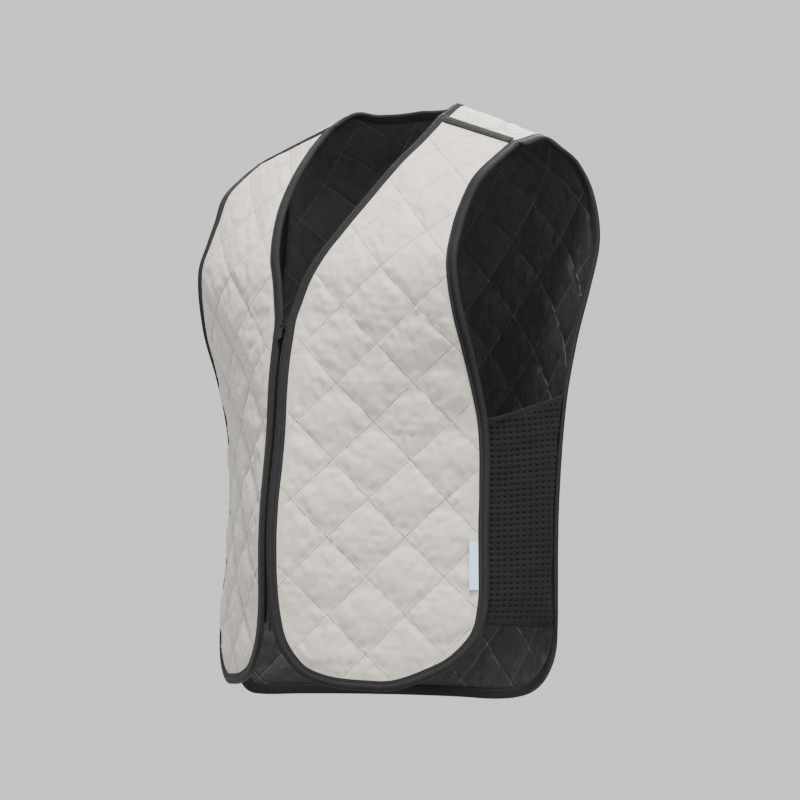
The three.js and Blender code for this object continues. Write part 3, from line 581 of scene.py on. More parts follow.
def swollen(panel, side):
    # How far the wadding pushes the sewn cloth out and along, from a simulation under pressure.
    net = quiltNet(panel, np.arange(quiltSizes["simCells"]) / quiltSizes["simCells"])
    base, out, free = onBody(net, side, quiltSizes["shellTop"])
    start = base + out * (free * net["wave"] * simSettings["startRise"])[:, None] / 1000
    cloth = meshObject(panel + "_cloth", start, facesOf(net, side, False))
    pins = net["line"] | (net["band"] < quiltSizes["flatBand"] + 1)
    shift = simulate(cloth, pins) - base
    bpy.data.objects.remove(cloth)
    along = (shift * out).sum(axis=1, keepdims=True)
    most = simSettings["mostShift"]
    sideways = np.clip(shift - out * along, -most, most) * free[:, None]
    sideways[net["line"]] = 0
    rise = np.clip(along * 1000, simSettings["leastRise"], simSettings["mostRise"]) * free[:, None]
    rise[net["line"]] = 0
    return net, np.hstack([rise, sideways])


def quiltedCloths(part, panel, side, seed):
    simNet, swell = swollen(panel, side)
    made = []
    for inner in (False, True):
        step = quiltSizes["liningStep"] if inner else quiltSizes[panel + "Step"]
        net = quiltNet(panel, cellMarks(step))
        lift = quiltSizes["liningLow"] if inner else quiltSizes["shellTop"]
        base, out, free = onBody(net, side, lift)
        moved = sampleCells(simNet, swell, net["cell"])
        deep = creaseSizes["lining"] if inner else creaseSizes["deep"]
        creases = creasesOn(net, seed + (50 if inner else 0), deep) * free
        creases += rimPuckers(net, seed + 7)
        creases[net["line"]] = 0
        rise = moved[:, 0] * (quiltSizes["liningShare"] if inner else 1) + creases
        rise = np.maximum(rise, quiltSizes["leastRise"])
        way = -1 if inner else 1
        verts = base + out * rise[:, None] * way / 1000 + moved[:, 1:]
        name = part + ("_inner_quilt" if inner else "_quilt")
        made.append(meshObject(name, verts, facesOf(net, side, inner), net["flat"] / 1000))
    return made[0], made[1], simNet


# Tapes, elastic and zip.


def tapeRing():
    # The folded tape's outer and inner faces: inward from the cut edge, and lift off the body.
    topIn = quiltSizes["shellTop"] + tapeSizes["gap"]
    topOut = topIn + tapeSizes["cloth"]
    lowIn = quiltSizes["liningLow"] - tapeSizes["hollow"]
    lowOut = lowIn - tapeSizes["cloth"]
    band, out = tapeSizes["band"], -tapeSizes["gap"] - tapeSizes["bend"]
    middle, radius = (topOut + lowOut) / 2, (topOut - lowOut) / 2
    ring = [(band, topIn - 0.15), (band, topIn + 0.35), (band - 0.35, topOut - 0.15)]
    ring += [(band - 1.4, topOut + 0.05), (band - 2.6, topOut - 0.16), (band - 4.5, topOut + 0.08)]
    ring += [(6, topOut + 0.12), (2.6, topOut + 0.05)]
    for angle in np.radians([75, 50, 25, 0, -25, -50, -75]):
        ring.append((1.4 + (out - 1.4) * math.cos(angle), middle + radius * math.sin(angle)))
    ring += [(2.6, lowOut), (6, lowOut - 0.1), (band - 2.6, lowOut + 0.15), (band - 0.35, lowOut + 0.12)]
    ring += [(band, lowIn), (0.6, lowIn), (-tapeSizes["gap"], lowIn + 0.4)]
    ring += [(-tapeSizes["gap"], topIn - 0.4), (0.6, topIn)]
    return np.array(ring)


def tubeFaces(count, n):
    # The sides between rings of n points, and the two ends.
    faces = []
    for k in range(count - 1):
        for i in range(n):
            a, b = k * n + i, k * n + (i + 1) % n
            faces.append((a, b, b + n, a + n))
    faces.append(tuple(range(n))[::-1])
    faces.append(tuple((count - 1) * n + i for i in range(n)))
    return faces


def sweep(name, rings, uvs):
    obj = meshObject(name, rings.reshape(-1, 3), tubeFaces(*rings.shape[:2]), uvs)
    faceOutwards(obj)
    return obj


def boundEdge(name, surface, edge, side, seed):
    points, inward = cutEdges[edge]
    ring = tapeRing()
    count = len(points)
    run = runOf(points)
    along = np.stack([run, np.zeros_like(run)], axis=1)
    ripple = waves(along, seed, tapeSizes["ripplePitch"]) * tapeSizes["ripple"]
    wander = waves(along, seed + 1, tapeSizes["wanderPitch"]) * tapeSizes["wander"]
    verts, uvs = [], []
    for k, (inwardBy, lift) in enumerate(ring):
        inner = np.clip((inwardBy - 3) / tapeSizes["band"], 0, 1)
        flat = points + inward * (inwardBy + wander * inner)[:, None]
        sign = 1 if lift > 0 else -1
        raised = lift + sign * np.maximum(ripple, -0.1) * (0.3 + 0.7 * inner)
        verts.append(metres(surface.place(*flat.T, raised)) * [side, 1, 1])
        uvs.append(np.stack([run / 1000, np.full(count, k * 1.6 / 1000)], axis=1))
    verts = np.stack(verts, axis=1)
    uvs = np.stack(uvs, axis=1).reshape(-1, 2)
    return sweep(name, verts, uvs)


def edgeAcross(edge, up):
    # How far from the centre the side of a cut edge lies at a height.
    points = cutEdges[edge][0]
    side = points[points[:, 0] > bodySizes["frontHalf"] / 2]
    rising = side[np.argsort(side[:, 1])]
    rising = rising[rising[:, 1] > 40]
    return np.interp(up, rising[:, 1], rising[:, 0])


elasticSizes = {
    "cloth": 1.6,
    "lap": 11,
    "run": 6,
    "frontTop": 0.472,
    "frontBottom": 0.141,
    "backTop": 0.51,
    "backBottom": 0.131,
    "columns": 92,
    "pitchAcross": 7.8,
    "pitchUp": 12.8,
    "dimple": 1.5,
    "dent": 1.1,
    "ridge": 0.3,
    "deep": 0.6,
    "hem": 5.5,
    "step": 1.6,
}


def elasticUp(panel, t):
    low, high = elasticSizes[panel + "Bottom"], elasticSizes[panel + "Top"]
    return (low * (1 - t) + high * t) * bodySizes["length"]


def elasticPanel(name, side):
    # A knitted sheet with rows of dimples, from under one side tape to the other.
    under = quiltSizes["liningLow"] - 2 * tapeSizes["hollow"] - tapeSizes["cloth"] - elasticSizes["cloth"] / 2
    tall = (elasticSizes["frontTop"] - elasticSizes["frontBottom"]) * bodySizes["length"]
    rows = int(tall / elasticSizes["step"])
    lines, runs, levels = [], [], []
    columns = elasticSizes["columns"]
    for t in np.linspace(0, 1, rows + 1):
        frontUp, backUp = elasticUp("front", t), elasticUp("back", t)
        a, b = edgeAcross("front", frontUp), edgeAcross("back", backUp)
        lap, run = elasticSizes["lap"], elasticSizes["run"]
        rising = front.place(np.array([a - lap, a, a + run]), frontUp, under)
        falling = back.place(np.array([b + run, b, b - lap]), backUp, under)
        line = curveThrough(np.vstack([rising, falling]), 2.0)
        at = runOf(line)
        even = np.linspace(0, at[-1], columns)
        lines.append(onLine(even, at, line))
        runs.append(even)
        levels.append(np.linspace(frontUp, backUp, columns))
    grid, runs = np.array(lines), np.array(runs)
    levels = np.array(levels) - elasticSizes["backBottom"] * bodySizes["length"]
    acrossWay = np.gradient(grid, axis=1)
    out = unit(np.cross(acrossWay, np.gradient(grid, axis=0)))
    length = np.linspace(0, tall, rows + 1)[:, None] + 0 * runs
    below = tall - length
    hem = ease((np.minimum(length, below) - elasticSizes["hem"]) / 1.2)
    across, up = elasticSizes["pitchAcross"], elasticSizes["pitchUp"]
    dx = (runs / across + 0.5) % 1 - 0.5
    dy = (2 * levels / up + 0.5) % 1 - 0.5
    dent = np.exp(-(((dx * across) ** 2 + (dy * up / 2) ** 2) / elasticSizes["dimple"] ** 2))
    ridge = -elasticSizes["ridge"] * np.cos(levels * 4 * math.pi / up)
    relief = hem * (ridge - dent * elasticSizes["dent"]) * elasticSizes["deep"]
    edgeOn = np.stack([runs.ravel(), levels.ravel()], axis=1)
    relief += (waves(edgeOn, 5 + side, 40) * 0.5 * hem.ravel()).reshape(relief.shape)
    half = elasticSizes["cloth"] / 2
    top = grid + out * (half + relief - 0.25)[..., None]
    bottom = grid - out * (half - np.minimum(relief, 0.2) * 0.5)[..., None]
    rounded = np.minimum(np.minimum(length, below) / 1.4, 1)[..., None]
    top = grid + (top - grid) * (0.55 + 0.45 * rounded)
    count = grid.shape[0] * grid.shape[1]
    verts = metres(np.vstack([top.reshape(-1, 3), bottom.reshape(-1, 3)])) * [side, 1, 1]
    ids = np.arange(count).reshape(grid.shape[:2])
    a, b, c, d = ids[:-1, :-1].ravel(), ids[:-1, 1:].ravel(), ids[1:, 1:].ravel(), ids[1:, :-1].ravel()
    faces = [*zip(a, b, c, d), *zip(a + count, d + count, c + count, b + count)]
    rim = [*ids[0, :-1], *ids[:-1, -1], *ids[-1, :0:-1], *ids[:0:-1, 0]]
    for m, n in zip(rim, rim[1:] + rim[:1]):
        faces.append((n, m, m + count, n + count))
    uvs = np.tile(edgeOn / 1000, (2, 1))
    obj = meshObject(name, verts, faces if side < 0 else [f[::-1] for f in faces], uvs)
    layer = obj.data.attributes.new("dimpled", "FLOAT", "POINT")
    layer.data.foreach_set("value", np.tile(hem.ravel(), 2).astype(np.float32))
    faceOutwards(obj)
    return obj, (float(runs[:, -1].mean()) / 1000, tall / 1000)


def shoulderTape(name, side, seed):
    # The flat tape over a shoulder seam, with rounded edges and a soft ripple.
    low = quiltSizes["shellTop"] + 2 * tapeSizes["gap"]
    high = low + tapeSizes["cloth"]
    inner = bodySizes["neckHalf"] + tapeSizes["band"] + tapeSizes["gap"]
    outer = bodySizes["tipHalf"] - tapeSizes["band"] - tapeSizes["gap"]
    across = np.linspace(inner, outer, 48)
    ripple = waves(np.stack([across, 0 * across], axis=1), seed, 18) * 0.12
    half = tapeSizes["seamHalf"]
    ring, uvs = [], []
    section = [(-half, low), (-half, high - 0.3), (-half + 0.6, high), (-half * 0.5, high + 0.1)]
    section += [(0, high + 0.15), (half * 0.5, high + 0.1), (half - 0.6, high), (half, high - 0.3)]
    section += [(half, low), (half * 0.5, low), (0, low), (-half * 0.5, low)]
    for k, (down, lift) in enumerate(section):
        raised = lift + np.maximum(ripple, -0.1) * (lift > low)
        if down == 0:
            a = front.place(across, front.seamUp(across), raised)
            b = back.place(across, back.seamUp(across), raised)
            points = (a + b) / 2
        else:
            surface = front if down < 0 else back
            points = surface.place(across, surface.seamUp(across) - abs(down), raised)
        ring.append(metres(points) * [side, 1, 1])
        uvs.append(np.stack([across / 1000, 0 * across + k * 1.4 / 1000], axis=1))
    made = sweep(name, np.stack(ring, axis=1), np.stack(uvs, axis=1).reshape(-1, 2))
    rows = []
    for surface in (front, back):
        along = np.arange(inner + 2, outer - 1, tapeSizes["stitchPitch"])
        down = half - 1.6
        here = surface.place(along, surface.seamUp(along) - down, high + 0.16)
        out = surface.normals(along, surface.seamUp(along) - down)[1]
        rows.append((metres(here), unit(np.gradient(here, axis=0)), out))
    mirror = np.array([side, 1, 1])
    return made, [np.vstack([row[k] for row in rows]) * mirror for k in range(3)]


zipSizes = {
    "top": 0.632,
    "bottom": 0.143,
    "turn": 5.6,
    "pitch": 1.35,
    "half": 2.1,
    "height": 2.1,
    "wire": 0.36,
    "sections": 14,
    "corners": 6,
}


def zipFrame(up):
    step = 2.0
    zero = np.zeros(1)
    here = front.place(zero, up)[0]
    along = unit(front.place(zero, up + step)[0] - front.place(zero, up - step)[0])
    out = np.cross([1.0, 0, 0], along)
    return here, along, unit(out)


def coilSeat(up):
    # How far out from the centre line the zip's tapes lie at this height.
    bottom = quiltSizes["liningLow"] - tapeSizes["hollow"] - tapeSizes["cloth"]
    here, _, out = zipFrame(up)
    turn = front.place(np.array([zipSizes["turn"]]), up, bottom - 2 * tapeSizes["hollow"])[0]
    return float((turn - here) @ out)


def coilPoints(side):
    low, high = zipSizes["bottom"] * bodySizes["length"] + 1, zipSizes["top"] * bodySizes["length"] - 1
    steps = np.linspace(low, high, 40)
    seats = np.array([coilSeat(up) for up in steps])
    here, _, out = [np.array(values) for values in zip(*[zipFrame(up) for up in steps])]
    out = unit(out)
    middle = here + out * (seats + tapeSizes["gap"] + zipSizes["height"] / 2)[:, None]
    run = runOf(middle)
    even = np.arange(zipSizes["pitch"] * (0.5 if side > 0 else 1.0), run[-1], zipSizes["pitch"])
    points = onLine(even, run, middle)
    return metres(points), unit(np.gradient(points, axis=0)), unit(onLine(even, run, out))


def coilTurn(side):
    # One turn of the nylon coil: a flattened loop of wire, open towards its tape.
    wire, sections, corners = zipSizes["wire"], zipSizes["sections"], zipSizes["corners"]
    angles = np.linspace(0, 2 * math.pi, sections, endpoint=False)
    wide, high = (zipSizes["half"] - 0.35) / 2, zipSizes["height"] / 2 - wire
    aside = (0.45 + wide + wide * np.cos(angles)) * side
    centre = np.stack([0 * angles, aside, high * np.sin(angles)], axis=1)
    verts, faces = [], []
    lengthwise = np.array([1.0, 0, 0])
    for k in range(sections):
        way = unit(centre[(k + 1) % sections] - centre[k - 1])
        up = np.cross(way, lengthwise)
        for c in range(corners):
            turn = 2 * math.pi * c / corners
            verts.append(centre[k] + wire * (lengthwise * math.cos(turn) + up * math.sin(turn)))
    for a, b, c, d in tubeFaces(sections + 1, corners)[:-2]:
        faces.append((a, b, c % len(verts), d % len(verts)))
    return bpy.data.objects.new("coil_turn", newMesh("coil_turn", np.array(verts) / 1000, faces))


class Wire:
    # A shader socket. Sums on it add Math nodes.
    def __init__(self, finish, socket):
        self.finish, self.socket = finish, socket

    def math(self, operation, first, second=None, clamp=False):
        values = {0: first} if second is None else {0: first, 1: second}
        return self.finish.add("ShaderNodeMath", {"operation": operation, "use_clamp": clamp}, values)

    def __add__(self, other):
        return self.math("ADD", self, other)

    def __sub__(self, other):
        return self.math("SUBTRACT", self, other)

    def __rsub__(self, other):
        return self.math("SUBTRACT", other, self)

    def __mul__(self, other):
        return self.math("MULTIPLY", self, other)

    __radd__ = __add__
    __rmul__ = __mul__

    def sin(self):
        return self.math("SINE", self)

    def clamp(self):
        return self.math("MULTIPLY", self, 1.0, clamp=True)

    def mix(self, low, high):
        values = {"Factor": self, "A": (*low, 1), "B": (*high, 1)}
        return self.finish.add("ShaderNodeMix", {"data_type": "RGBA"}, values, "Result")

    def between(self, low, high):
        values = {"Value": self, "To Min": low, "To Max": high}
        return self.finish.add("ShaderNodeMapRange", {}, values, "Result")


class Finish:
    # One material: its shader, the cloth's own plan as coordinates, and the nodes that feed it.
    def __init__(self, name, **sockets):
        self.material = bpy.data.materials.new(name)
        self.material.use_nodes = True
        self.tree = self.material.node_tree
        self.shader = self.tree.nodes["Principled BSDF"]
        self.plan = self.add("ShaderNodeUVMap", {"uv_map": "UVMap"}, {})
        self.spot = self.add("ShaderNodeTexCoord", {}, {}, "Object")
        for key, value in sockets.items():
            socket = self.shader.inputs[key.replace("_", " ")]
            socket.default_value = (*value, 1) if isinstance(value, tuple) else value

    def add(self, kind, settings, values, output=0):
        node = self.tree.nodes.new(kind)
        for key, value in settings.items():
            setattr(node, key, value)
        for key, value in values.items():
            if isinstance(value, Wire):
                self.tree.links.new(value.socket, node.inputs[key])
            else:
                node.inputs[key].default_value = value
        return Wire(self, node.outputs[output])

    def plane(self):
        split = self.add("ShaderNodeSeparateXYZ", {}, {0: self.plan}).socket.node
        return [Wire(self, socket) for socket in split.outputs][:2]

    def noise(self, scale, detail=3, rough=0.5, source=None):
        values = {"Vector": source or self.plan, "Scale": scale, "Detail": detail, "Roughness": rough}
        return self.add("ShaderNodeTexNoise", {}, values, "Fac")

    def feed(self, color, rough, height, distance):
        bump = self.add("ShaderNodeBump", {}, {"Strength": 1.0, "Distance": distance, "Height": height})
        for key, wire in (("Base Color", color), ("Roughness", rough), ("Normal", bump)):
            self.tree.links.new(wire.socket, self.shader.inputs[key])
        return self.material


def weave(x, y, pitch):
    k = 2 * math.pi / pitch
    return (x * k).sin() * (y * k).sin()


def satin(name, dark, light, thread, rough, sheen, deep):
    made = Finish(name, Sheen_Weight=sheen, Sheen_Roughness=0.35, Specular_IOR_Level=0.5)
    x, y = made.plane()
    color = (made.noise(9, 4) * 0.6 + made.noise(160, 2) * 0.4).clamp().mix(dark, light)
    worn = made.noise(30, 3).between(rough - 0.06, rough + 0.08)
    crinkle = made.noise(220, 5, 0.6) * 0.55 + made.noise(60, 3) * 0.9
    return made.feed(color, worn, weave(x + y, x - y, thread) * 0.1 + crinkle, deep)


def tapeFinish(name, dark, light, rib):
    made = Finish(name, Sheen_Weight=0.02, Sheen_Roughness=0.5, Specular_IOR_Level=0.18)
    x, y = made.plane()
    ribs = (x * (2 * math.pi / rib)).sin() * 0.5 + weave(x, y, rib * 1.7) * 0.35
    color = (made.noise(260, 3) * 0.7 + made.noise(30, 2) * 0.3).clamp().mix(dark, light)
    worn = made.noise(120, 2).between(0.62, 0.8)
    return made.feed(color, worn, ribs + made.noise(500, 2) * 0.6, 0.0002)


def knitFinish(name, dark, light):
    # Rows of dimples, painted darker in their hollows as painted shade, and plain hems above and below.
    made = Finish(name, Sheen_Weight=0.01, Sheen_Roughness=0.6, Specular_IOR_Level=0.12)
    x, y = made.plane()
    wide = (x * (math.pi / elasticSizes["pitchAcross"] * 1000)).sin()
    tall = (y * (2 * math.pi / elasticSizes["pitchUp"] * 1000)).sin()
    dimples = (1.3 - wide * wide * 2.2 - tall * tall * 3.2).clamp()
    inside = made.add("ShaderNodeAttribute", {"attribute_name": "dimpled"}, {}, "Fac")
    # The dimple mask darkens the colour in the hollows (painted shade) and also sinks the bump there.
    dimpleShadeAndDip = dimples * inside
    color = (made.noise(180, 3) * 0.35 + dimpleShadeAndDip).clamp().mix(light, dark)
    worn = made.noise(90, 2).between(0.7, 0.88)
    height = weave(x, y, 0.0012) * 0.25 - dimpleShadeAndDip * 1.8 + made.noise(400, 2) * 0.3
    return made.feed(color, worn, height, 0.0006)


def plainFinish(name, color, rough, metallic, wear):
    made = Finish(name, Metallic=metallic, Specular_IOR_Level=0.5)
    light = tuple(min(1, c + wear) for c in color)
    worn = made.noise(1400, 2, source=made.spot).between(rough - 0.08, rough + 0.1)
    color = made.noise(900, 3, source=made.spot).mix(color, light)
    return made.feed(color, worn, made.noise(2200, 3, source=made.spot), 0.00003)


finishes = {
    "outer": satin("silver_satin", (0.405, 0.37, 0.325), (0.525, 0.484, 0.432), 7e-4, 0.47, 0.1, 5e-4),
    "lining": satin("black_satin", (0.0025, 0.0025, 0.003), (0.008, 0.008, 0.0085), 8e-4, 0.34, 0.02, 9e-4),
    "tape": tapeFinish("charcoal_tape", (0.004, 0.004, 0.0044), (0.012, 0.012, 0.0127), 0.0009),
    "elastic": knitFinish("black_elastic", (0.0006, 0.0005, 0.0006), (0.0095, 0.0085, 0.0092)),
    "coil": plainFinish("black_coil", (0.008, 0.008, 0.009), 0.4, 0.0, 0.008),
    "metal": plainFinish("black_metal", (0.015, 0.015, 0.017), 0.38, 0.7, 0.03),
    "label": tapeFinish("pale_blue_tab", (0.32, 0.58, 0.76), (0.46, 0.7, 0.86), 0.0006),
    "greyThread": tapeFinish("grey_thread", (0.075, 0.07, 0.062), (0.13, 0.122, 0.11), 0.0004),
    "liningThread": tapeFinish("lining_thread", (0.12, 0.12, 0.122), (0.2, 0.2, 0.2), 0.0004),
    "darkThread": tapeFinish("dark_thread", (0.02, 0.02, 0.022), (0.05, 0.05, 0.052), 0.0004),
}


def finish(obj, material, slot, replaces=()):
    obj.data.materials.clear()
    obj.data.materials.append(finishes[material])
    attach(obj, vestBody)
    if replaces:
        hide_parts(*replaces)


# Stitches: a short rounded thread on each point of a set of lines, by Geometry Nodes.


threadSizes = {"quilt": (0.0011, 0.00042, 0.0003), "tape": (0.0012, 0.0003, 0.00028)}


def threadMesh():
    sides, verts = 4, []
    rings = [(-1.0, 0.4), (0.0, 1.0), (1.0, 0.4)]
    for x, r in rings:
        for i in range(sides):
            angle = 2 * math.pi * i / sides
            verts.append((x, r * math.cos(angle), r * math.sin(angle)))
    return bpy.data.objects.new("thread", newMesh("thread", verts, tubeFaces(len(rings), sides)))


def scatterTree():
    tree = bpy.data.node_groups.new("set_along", "GeometryNodeTree")
    sockets = {"Geometry": "Geometry", "Piece": "Object", "Size": "Vector"}
    sockets |= {"Unevenness": "Float", "Seed": "Int", "Material": "Material"}
    for name, kind in sockets.items():
        tree.interface.new_socket(name, in_out="INPUT", socket_type="NodeSocket" + kind)
    tree.interface.new_socket("Geometry", in_out="OUTPUT", socket_type="NodeSocketGeometry")
    add = tree.nodes.new
    start, end, piece = add("NodeGroupInput"), add("NodeGroupOutput"), add("GeometryNodeObjectInfo")
    named = {}
    for key in ("along", "out"):
        named[key] = add("GeometryNodeInputNamedAttribute")
        named[key].data_type = "FLOAT_VECTOR"
        named[key].inputs["Name"].default_value = key
    turnAlong, turnOut = add("FunctionNodeAlignRotationToVector"), add("FunctionNodeAlignRotationToVector")
    turnAlong.axis, turnOut.axis = "X", "Z"
    turnOut.pivot_axis = "X"
    chance, spread, scale = add("FunctionNodeRandomValue"), add("ShaderNodeMath"), add("ShaderNodeVectorMath")
    chance.data_type = "FLOAT"
    spread.operation = "MULTIPLY_ADD"
    spread.inputs[2].default_value = 1.0
    scale.operation = "SCALE"
    put, real = add("GeometryNodeInstanceOnPoints"), add("GeometryNodeRealizeInstances")
    paint = add("GeometryNodeSetMaterial")
    joins = [
        (start, "Piece", piece, "Object"),
        (named["along"], "Attribute", turnAlong, "Vector"),
        (turnAlong, "Rotation", turnOut, "Rotation"),
        (named["out"], "Attribute", turnOut, "Vector"),
        (start, "Seed", chance, "Seed"),
        (chance, 1, spread, 0),
        (start, "Unevenness", spread, 1),
        (start, "Size", scale, 0),
        (spread, 0, scale, "Scale"),
        (start, "Geometry", put, "Points"),
        (piece, "Geometry", put, "Instance"),
        (turnOut, "Rotation", put, "Rotation"),
        (scale, 0, put, "Scale"),
        (put, "Instances", real, "Geometry"),
        (real, "Geometry", paint, "Geometry"),
        (start, "Material", paint, "Material"),
        (paint, "Geometry", end, "Geometry"),
    ]
    for source, output, target, entry in joins:
        tree.links.new(source.outputs[output], target.inputs[entry])
    return tree


setAlongTree = scatterTree()


def setAlong(name, points, along, out, piece, size, material, seed, unevenness=0.15):
    # One copy of a small piece at each point, laid along one way and standing out the other.
    mesh = bpy.data.meshes.new(name + "_points")
    mesh.from_pydata([tuple(p) for p in points], [], [])
    for key, values in (("along", along), ("out", out)):
        layer = mesh.attributes.new(key, "FLOAT_VECTOR", "POINT")
        layer.data.foreach_set("vector", np.asarray(values, np.float32).ravel())
    host = newObject(name + "_points", mesh)
    modifier = host.modifiers.new("set_along", "NODES")
    modifier.node_group = setAlongTree
    values = {"Piece": piece, "Size": size, "Unevenness": unevenness, "Seed": seed}
    values["Material"] = finishes[material]
    for item in setAlongTree.interface.items_tree:
        if item.in_out == "INPUT" and item.name in values:
            modifier[item.identifier] = values[item.name]
    host.data.update()
    shown = host.evaluated_get(bpy.context.evaluated_depsgraph_get())
    made = bpy.data.meshes.new_from_object(shown)
    made.name = name
    bpy.data.objects.remove(host)
    return newObject(name, made)


def quiltStitches(net, side, lift):
    # Points along the quilt's lines, where the net keeps them.
    surface, panel = net["surface"], net["panel"]
    first, row = quiltSizes["start"][panel]
    outline = outlineOf(panel)
    low, high = outline.min(axis=0), outline.max(axis=0)
    span = (high - low).sum() * 1.5
    gap = quiltSizes["square"] * math.sqrt(2)
    found, ways = [], []
    for slope in (1, -1):
        way = np.array([1, slope]) / math.sqrt(2)
        for c in range(-12, 24):
            start = np.array([first + gap * c, row])
            run = np.arange(-span, span, quiltSizes["stitchPitch"])
            line = start + way * run[:, None]
            keep = ((line > low) & (line < high)).all(axis=1)
            found.append(line[keep])
            ways.append(np.repeat(way[None], keep.sum(), axis=0))
    points, way = np.vstack(found), np.vstack(ways)
    edge = distanceTo(points, panelEdge(panel))
    seam = surface.seamUp(points[:, 0]) - points[:, 1]
    clear = (edge > tapeSizes["band"] + 0.8) & (seam > tapeSizes["seamHalf"] + 1.5)
    good = insideOf(points, outline) & clear
    points, way = points[good], way[good]
    ahead = surface.place(*(points + way).T, lift)
    here = surface.place(*points.T, lift)
    _, out = surface.normals(*points.T)
    mirror = np.array([side, 1, 1])
    return metres(here) * mirror, unit(ahead - here) * mirror, out * mirror * (1 if lift > 0 else -1)


def edgeStitches(surface, edge, side, inwardBy, lift):
    points, inward = cutEdges[edge]
    flat = points + inward * inwardBy
    run = runOf(flat)
    even = np.arange(2, run[-1] - 1, tapeSizes["stitchPitch"])
    flat = onLine(even, run, flat)
    here = surface.place(*flat.T, lift)
    _, out = surface.normals(*flat.T)
    along = unit(np.gradient(here, axis=0))
    mirror = np.array([side, 1, 1])
    return metres(here) * mirror, along * mirror, out * mirror


def sew(name, seam, kind, material, slot, seed):
    points, along, out = seam
    sewn = setAlong(name, points, along, out, thread, threadSizes[kind], material, seed)
    finish(sewn, material, slot=slot)


# Camera first, then the pieces.


cameraSizes = {"azimuth": 40, "distance": 3.76, "up": 250, "right": 0.0307, "aimUp": 343.7, "lens": 148.9}


def setCamera():
    azimuth = math.radians(cameraSizes["azimuth"])
    backwards = Vector((math.sin(azimuth), -math.cos(azimuth), 0))
    right = Vector((math.cos(azimuth), math.sin(azimuth), 0))
    axis = Vector(metres([0, 0, 0]))
    eye = axis + backwards * cameraSizes["distance"]
    eye.z = metres([0, 0, cameraSizes["up"]])[2]
    aim = axis + right * cameraSizes["right"]
    aim.z = metres([0, 0, cameraSizes["aimUp"]])[2]
    data = bpy.data.cameras.new("photo_camera")
    data.lens, data.sensor_width = cameraSizes["lens"], 36
    camera = newObject("photo_camera", data)
    camera.location = eye
    camera.rotation_euler = (aim - eye).to_track_quat("-Z", "Y").to_euler()
    bpy.context.scene.camera = camera


setCamera()
print("camera set")

thread = threadMesh()
for part, panel, side, seed in (
    ("front_left", "front", 1, 11),
    ("front_right", "front", -1, 47),
    ("back", "back", 1, 83),
):
    shell, inner, net = quiltedCloths(part, panel, side, seed)
    finish(shell, "outer", slot="outer_cloth", replaces=[part + "_shell"])
    finish(inner, "lining", slot="lining_cloth", replaces=[part + "_lining"])
    cut, area = cutOf(outlineOf(panel))
    for name, lift, material, slot in (
        ("_stitches", quiltSizes["shellTop"] + 0.12, "greyThread", "outer_cloth"),
        ("_inner_stitches", quiltSizes["liningLow"] - 0.12, "liningThread", "lining_cloth"),
    ):
        sew(part + name, quiltStitches(net, side, lift), "quilt", material, slot, seed)
    print("quilt", part, len(net["flat"]), "points")

for name, surface, edge, side, seed in (
    ("front_left_binding", front, "front", 1, 3),
    ("front_right_binding", front, "front", -1, 5),
    ("back_binding", back, "back", 1, 7),
    ("back_neck_binding", back, "neck", 1, 9),
):
    tape = boundEdge(name + "_tape", surface, edge, side, seed)
    finish(tape, "tape", slot="binding_tape", replaces=[name])
    cut = (float(runOf(tapeRing())[-1]) / 2000, float(runOf(cutEdges[edge][0])[-1]) / 1000)
    top = quiltSizes["shellTop"] + tapeSizes["gap"] + tapeSizes["cloth"] + 0.06
    seam = edgeStitches(surface, edge, side, tapeSizes["band"] - tapeSizes["stitchIn"], top)
    sew(name + "_stitches", seam, "tape", "darkThread", "binding_tape", seed)
for side, hand, seed in ((1, "left", 21), (-1, "right", 22)):
    name = "shoulder_tape_" + hand
    tape, seam = shoulderTape(name + "_cloth", side, seed)
    finish(tape, "tape", slot="binding_tape", replaces=[name])
    long = bodySizes["tipHalf"] - bodySizes["neckHalf"] - 2 * tapeSizes["band"]
    cut = (2 * tapeSizes["seamHalf"] / 1000, long / 1000)
    sew(name + "_stitches", seam, "tape", "darkThread", "binding_tape", seed)
    name = "side_elastic_" + hand
    knit, cut = elasticPanel(name + "_knit", side)
    finish(knit, "elastic", slot="elastic", replaces=[name])
    points, along, out = coilPoints(side)
    turns = setAlong("zip_coil_" + hand, points, along, out, coilTurn(side), (1, 1, 1), "coil", seed, 0.0)
    finish(turns, "coil", slot="zip_coil", replaces=["zip_teeth_" + hand])
print("tapes, elastic and zip made")

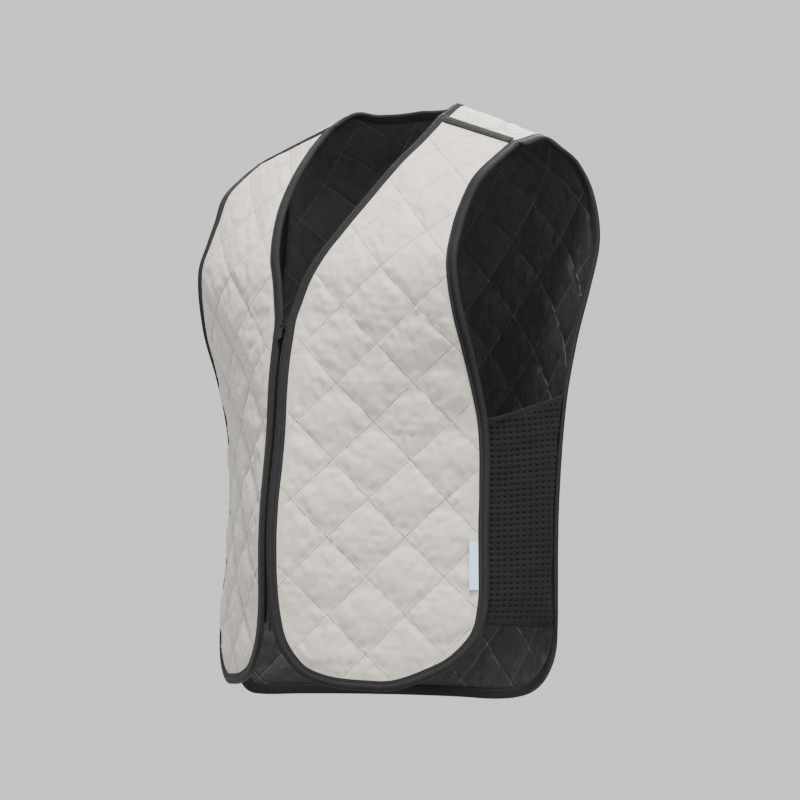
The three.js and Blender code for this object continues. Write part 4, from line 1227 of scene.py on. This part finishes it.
# What stays as the frame has it gets its finish here.
framePieces = {
    "coil": ["zip_tape_left", "zip_tape_right"],
    "metal": ["zip_top_stop_left", "zip_top_stop_right", "zip_slider", "zip_pull", "zip_box"],
    "label": ["side_label"],
}
for key, names in framePieces.items():
    for name in names:
        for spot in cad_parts[name].material_slots:
            spot.material = finishes[key]


# Stage and light.


def areaLight(name, place, aim, size, power, tint):
    data = bpy.data.lights.new(name, "AREA")
    data.shape, data.size, data.energy, data.color = "DISK", size, power, tint
    lamp = newObject(name, data)
    lamp.location = place
    lamp.rotation_euler = (Vector(aim) - Vector(place)).to_track_quat("-Z", "Y").to_euler()


stageSizes = {"radius": 1.85, "up": -0.95, "corners": 96, "grey": 0.45, "rough": 0.7}
worldLight = {"color": (0.98, 0.993, 1, 1), "strength": 0.98}
lamps = {
    "key": {"place": (1.0, -0.95, 2.8), "size": 0.8, "power": 345, "tint": (1, 0.98, 0.95)},
    "side": {"place": (2.2, -1.6, 1.4), "size": 0.7, "power": 30, "tint": (1, 1, 1)},
    "behind": {"place": (-1.3, 2.3, 2.0), "size": 1.2, "power": 110, "tint": (1, 1, 1)},
}


def setStage():
    floor = bmesh.new()
    bmesh.ops.create_circle(floor, cap_ends=True, segments=stageSizes["corners"], radius=stageSizes["radius"])
    mesh = bpy.data.meshes.new("floor")
    floor.to_mesh(mesh)
    floor.free()
    mesh.transform(Matrix.Translation((0, 0, stageSizes["up"])))
    pale = bpy.data.materials.new("pale_floor")
    pale.use_nodes = True
    shader = pale.node_tree.nodes["Principled BSDF"]
    shader.inputs["Base Color"].default_value = (*[stageSizes["grey"]] * 3, 1)
    shader.inputs["Roughness"].default_value = stageSizes["rough"]
    mesh.materials.append(pale)
    obj = newObject("floor", mesh)
    world = bpy.data.worlds.new("studio")
    bpy.context.scene.world = world
    world.use_nodes = True
    sky = world.node_tree.nodes["Background"]
    sky.inputs["Color"].default_value = worldLight["color"]
    sky.inputs["Strength"].default_value = worldLight["strength"]
    for name, lamp in lamps.items():
        areaLight(name, aim=(0, 0, -0.3), **lamp)


setStage()
print("stage set")
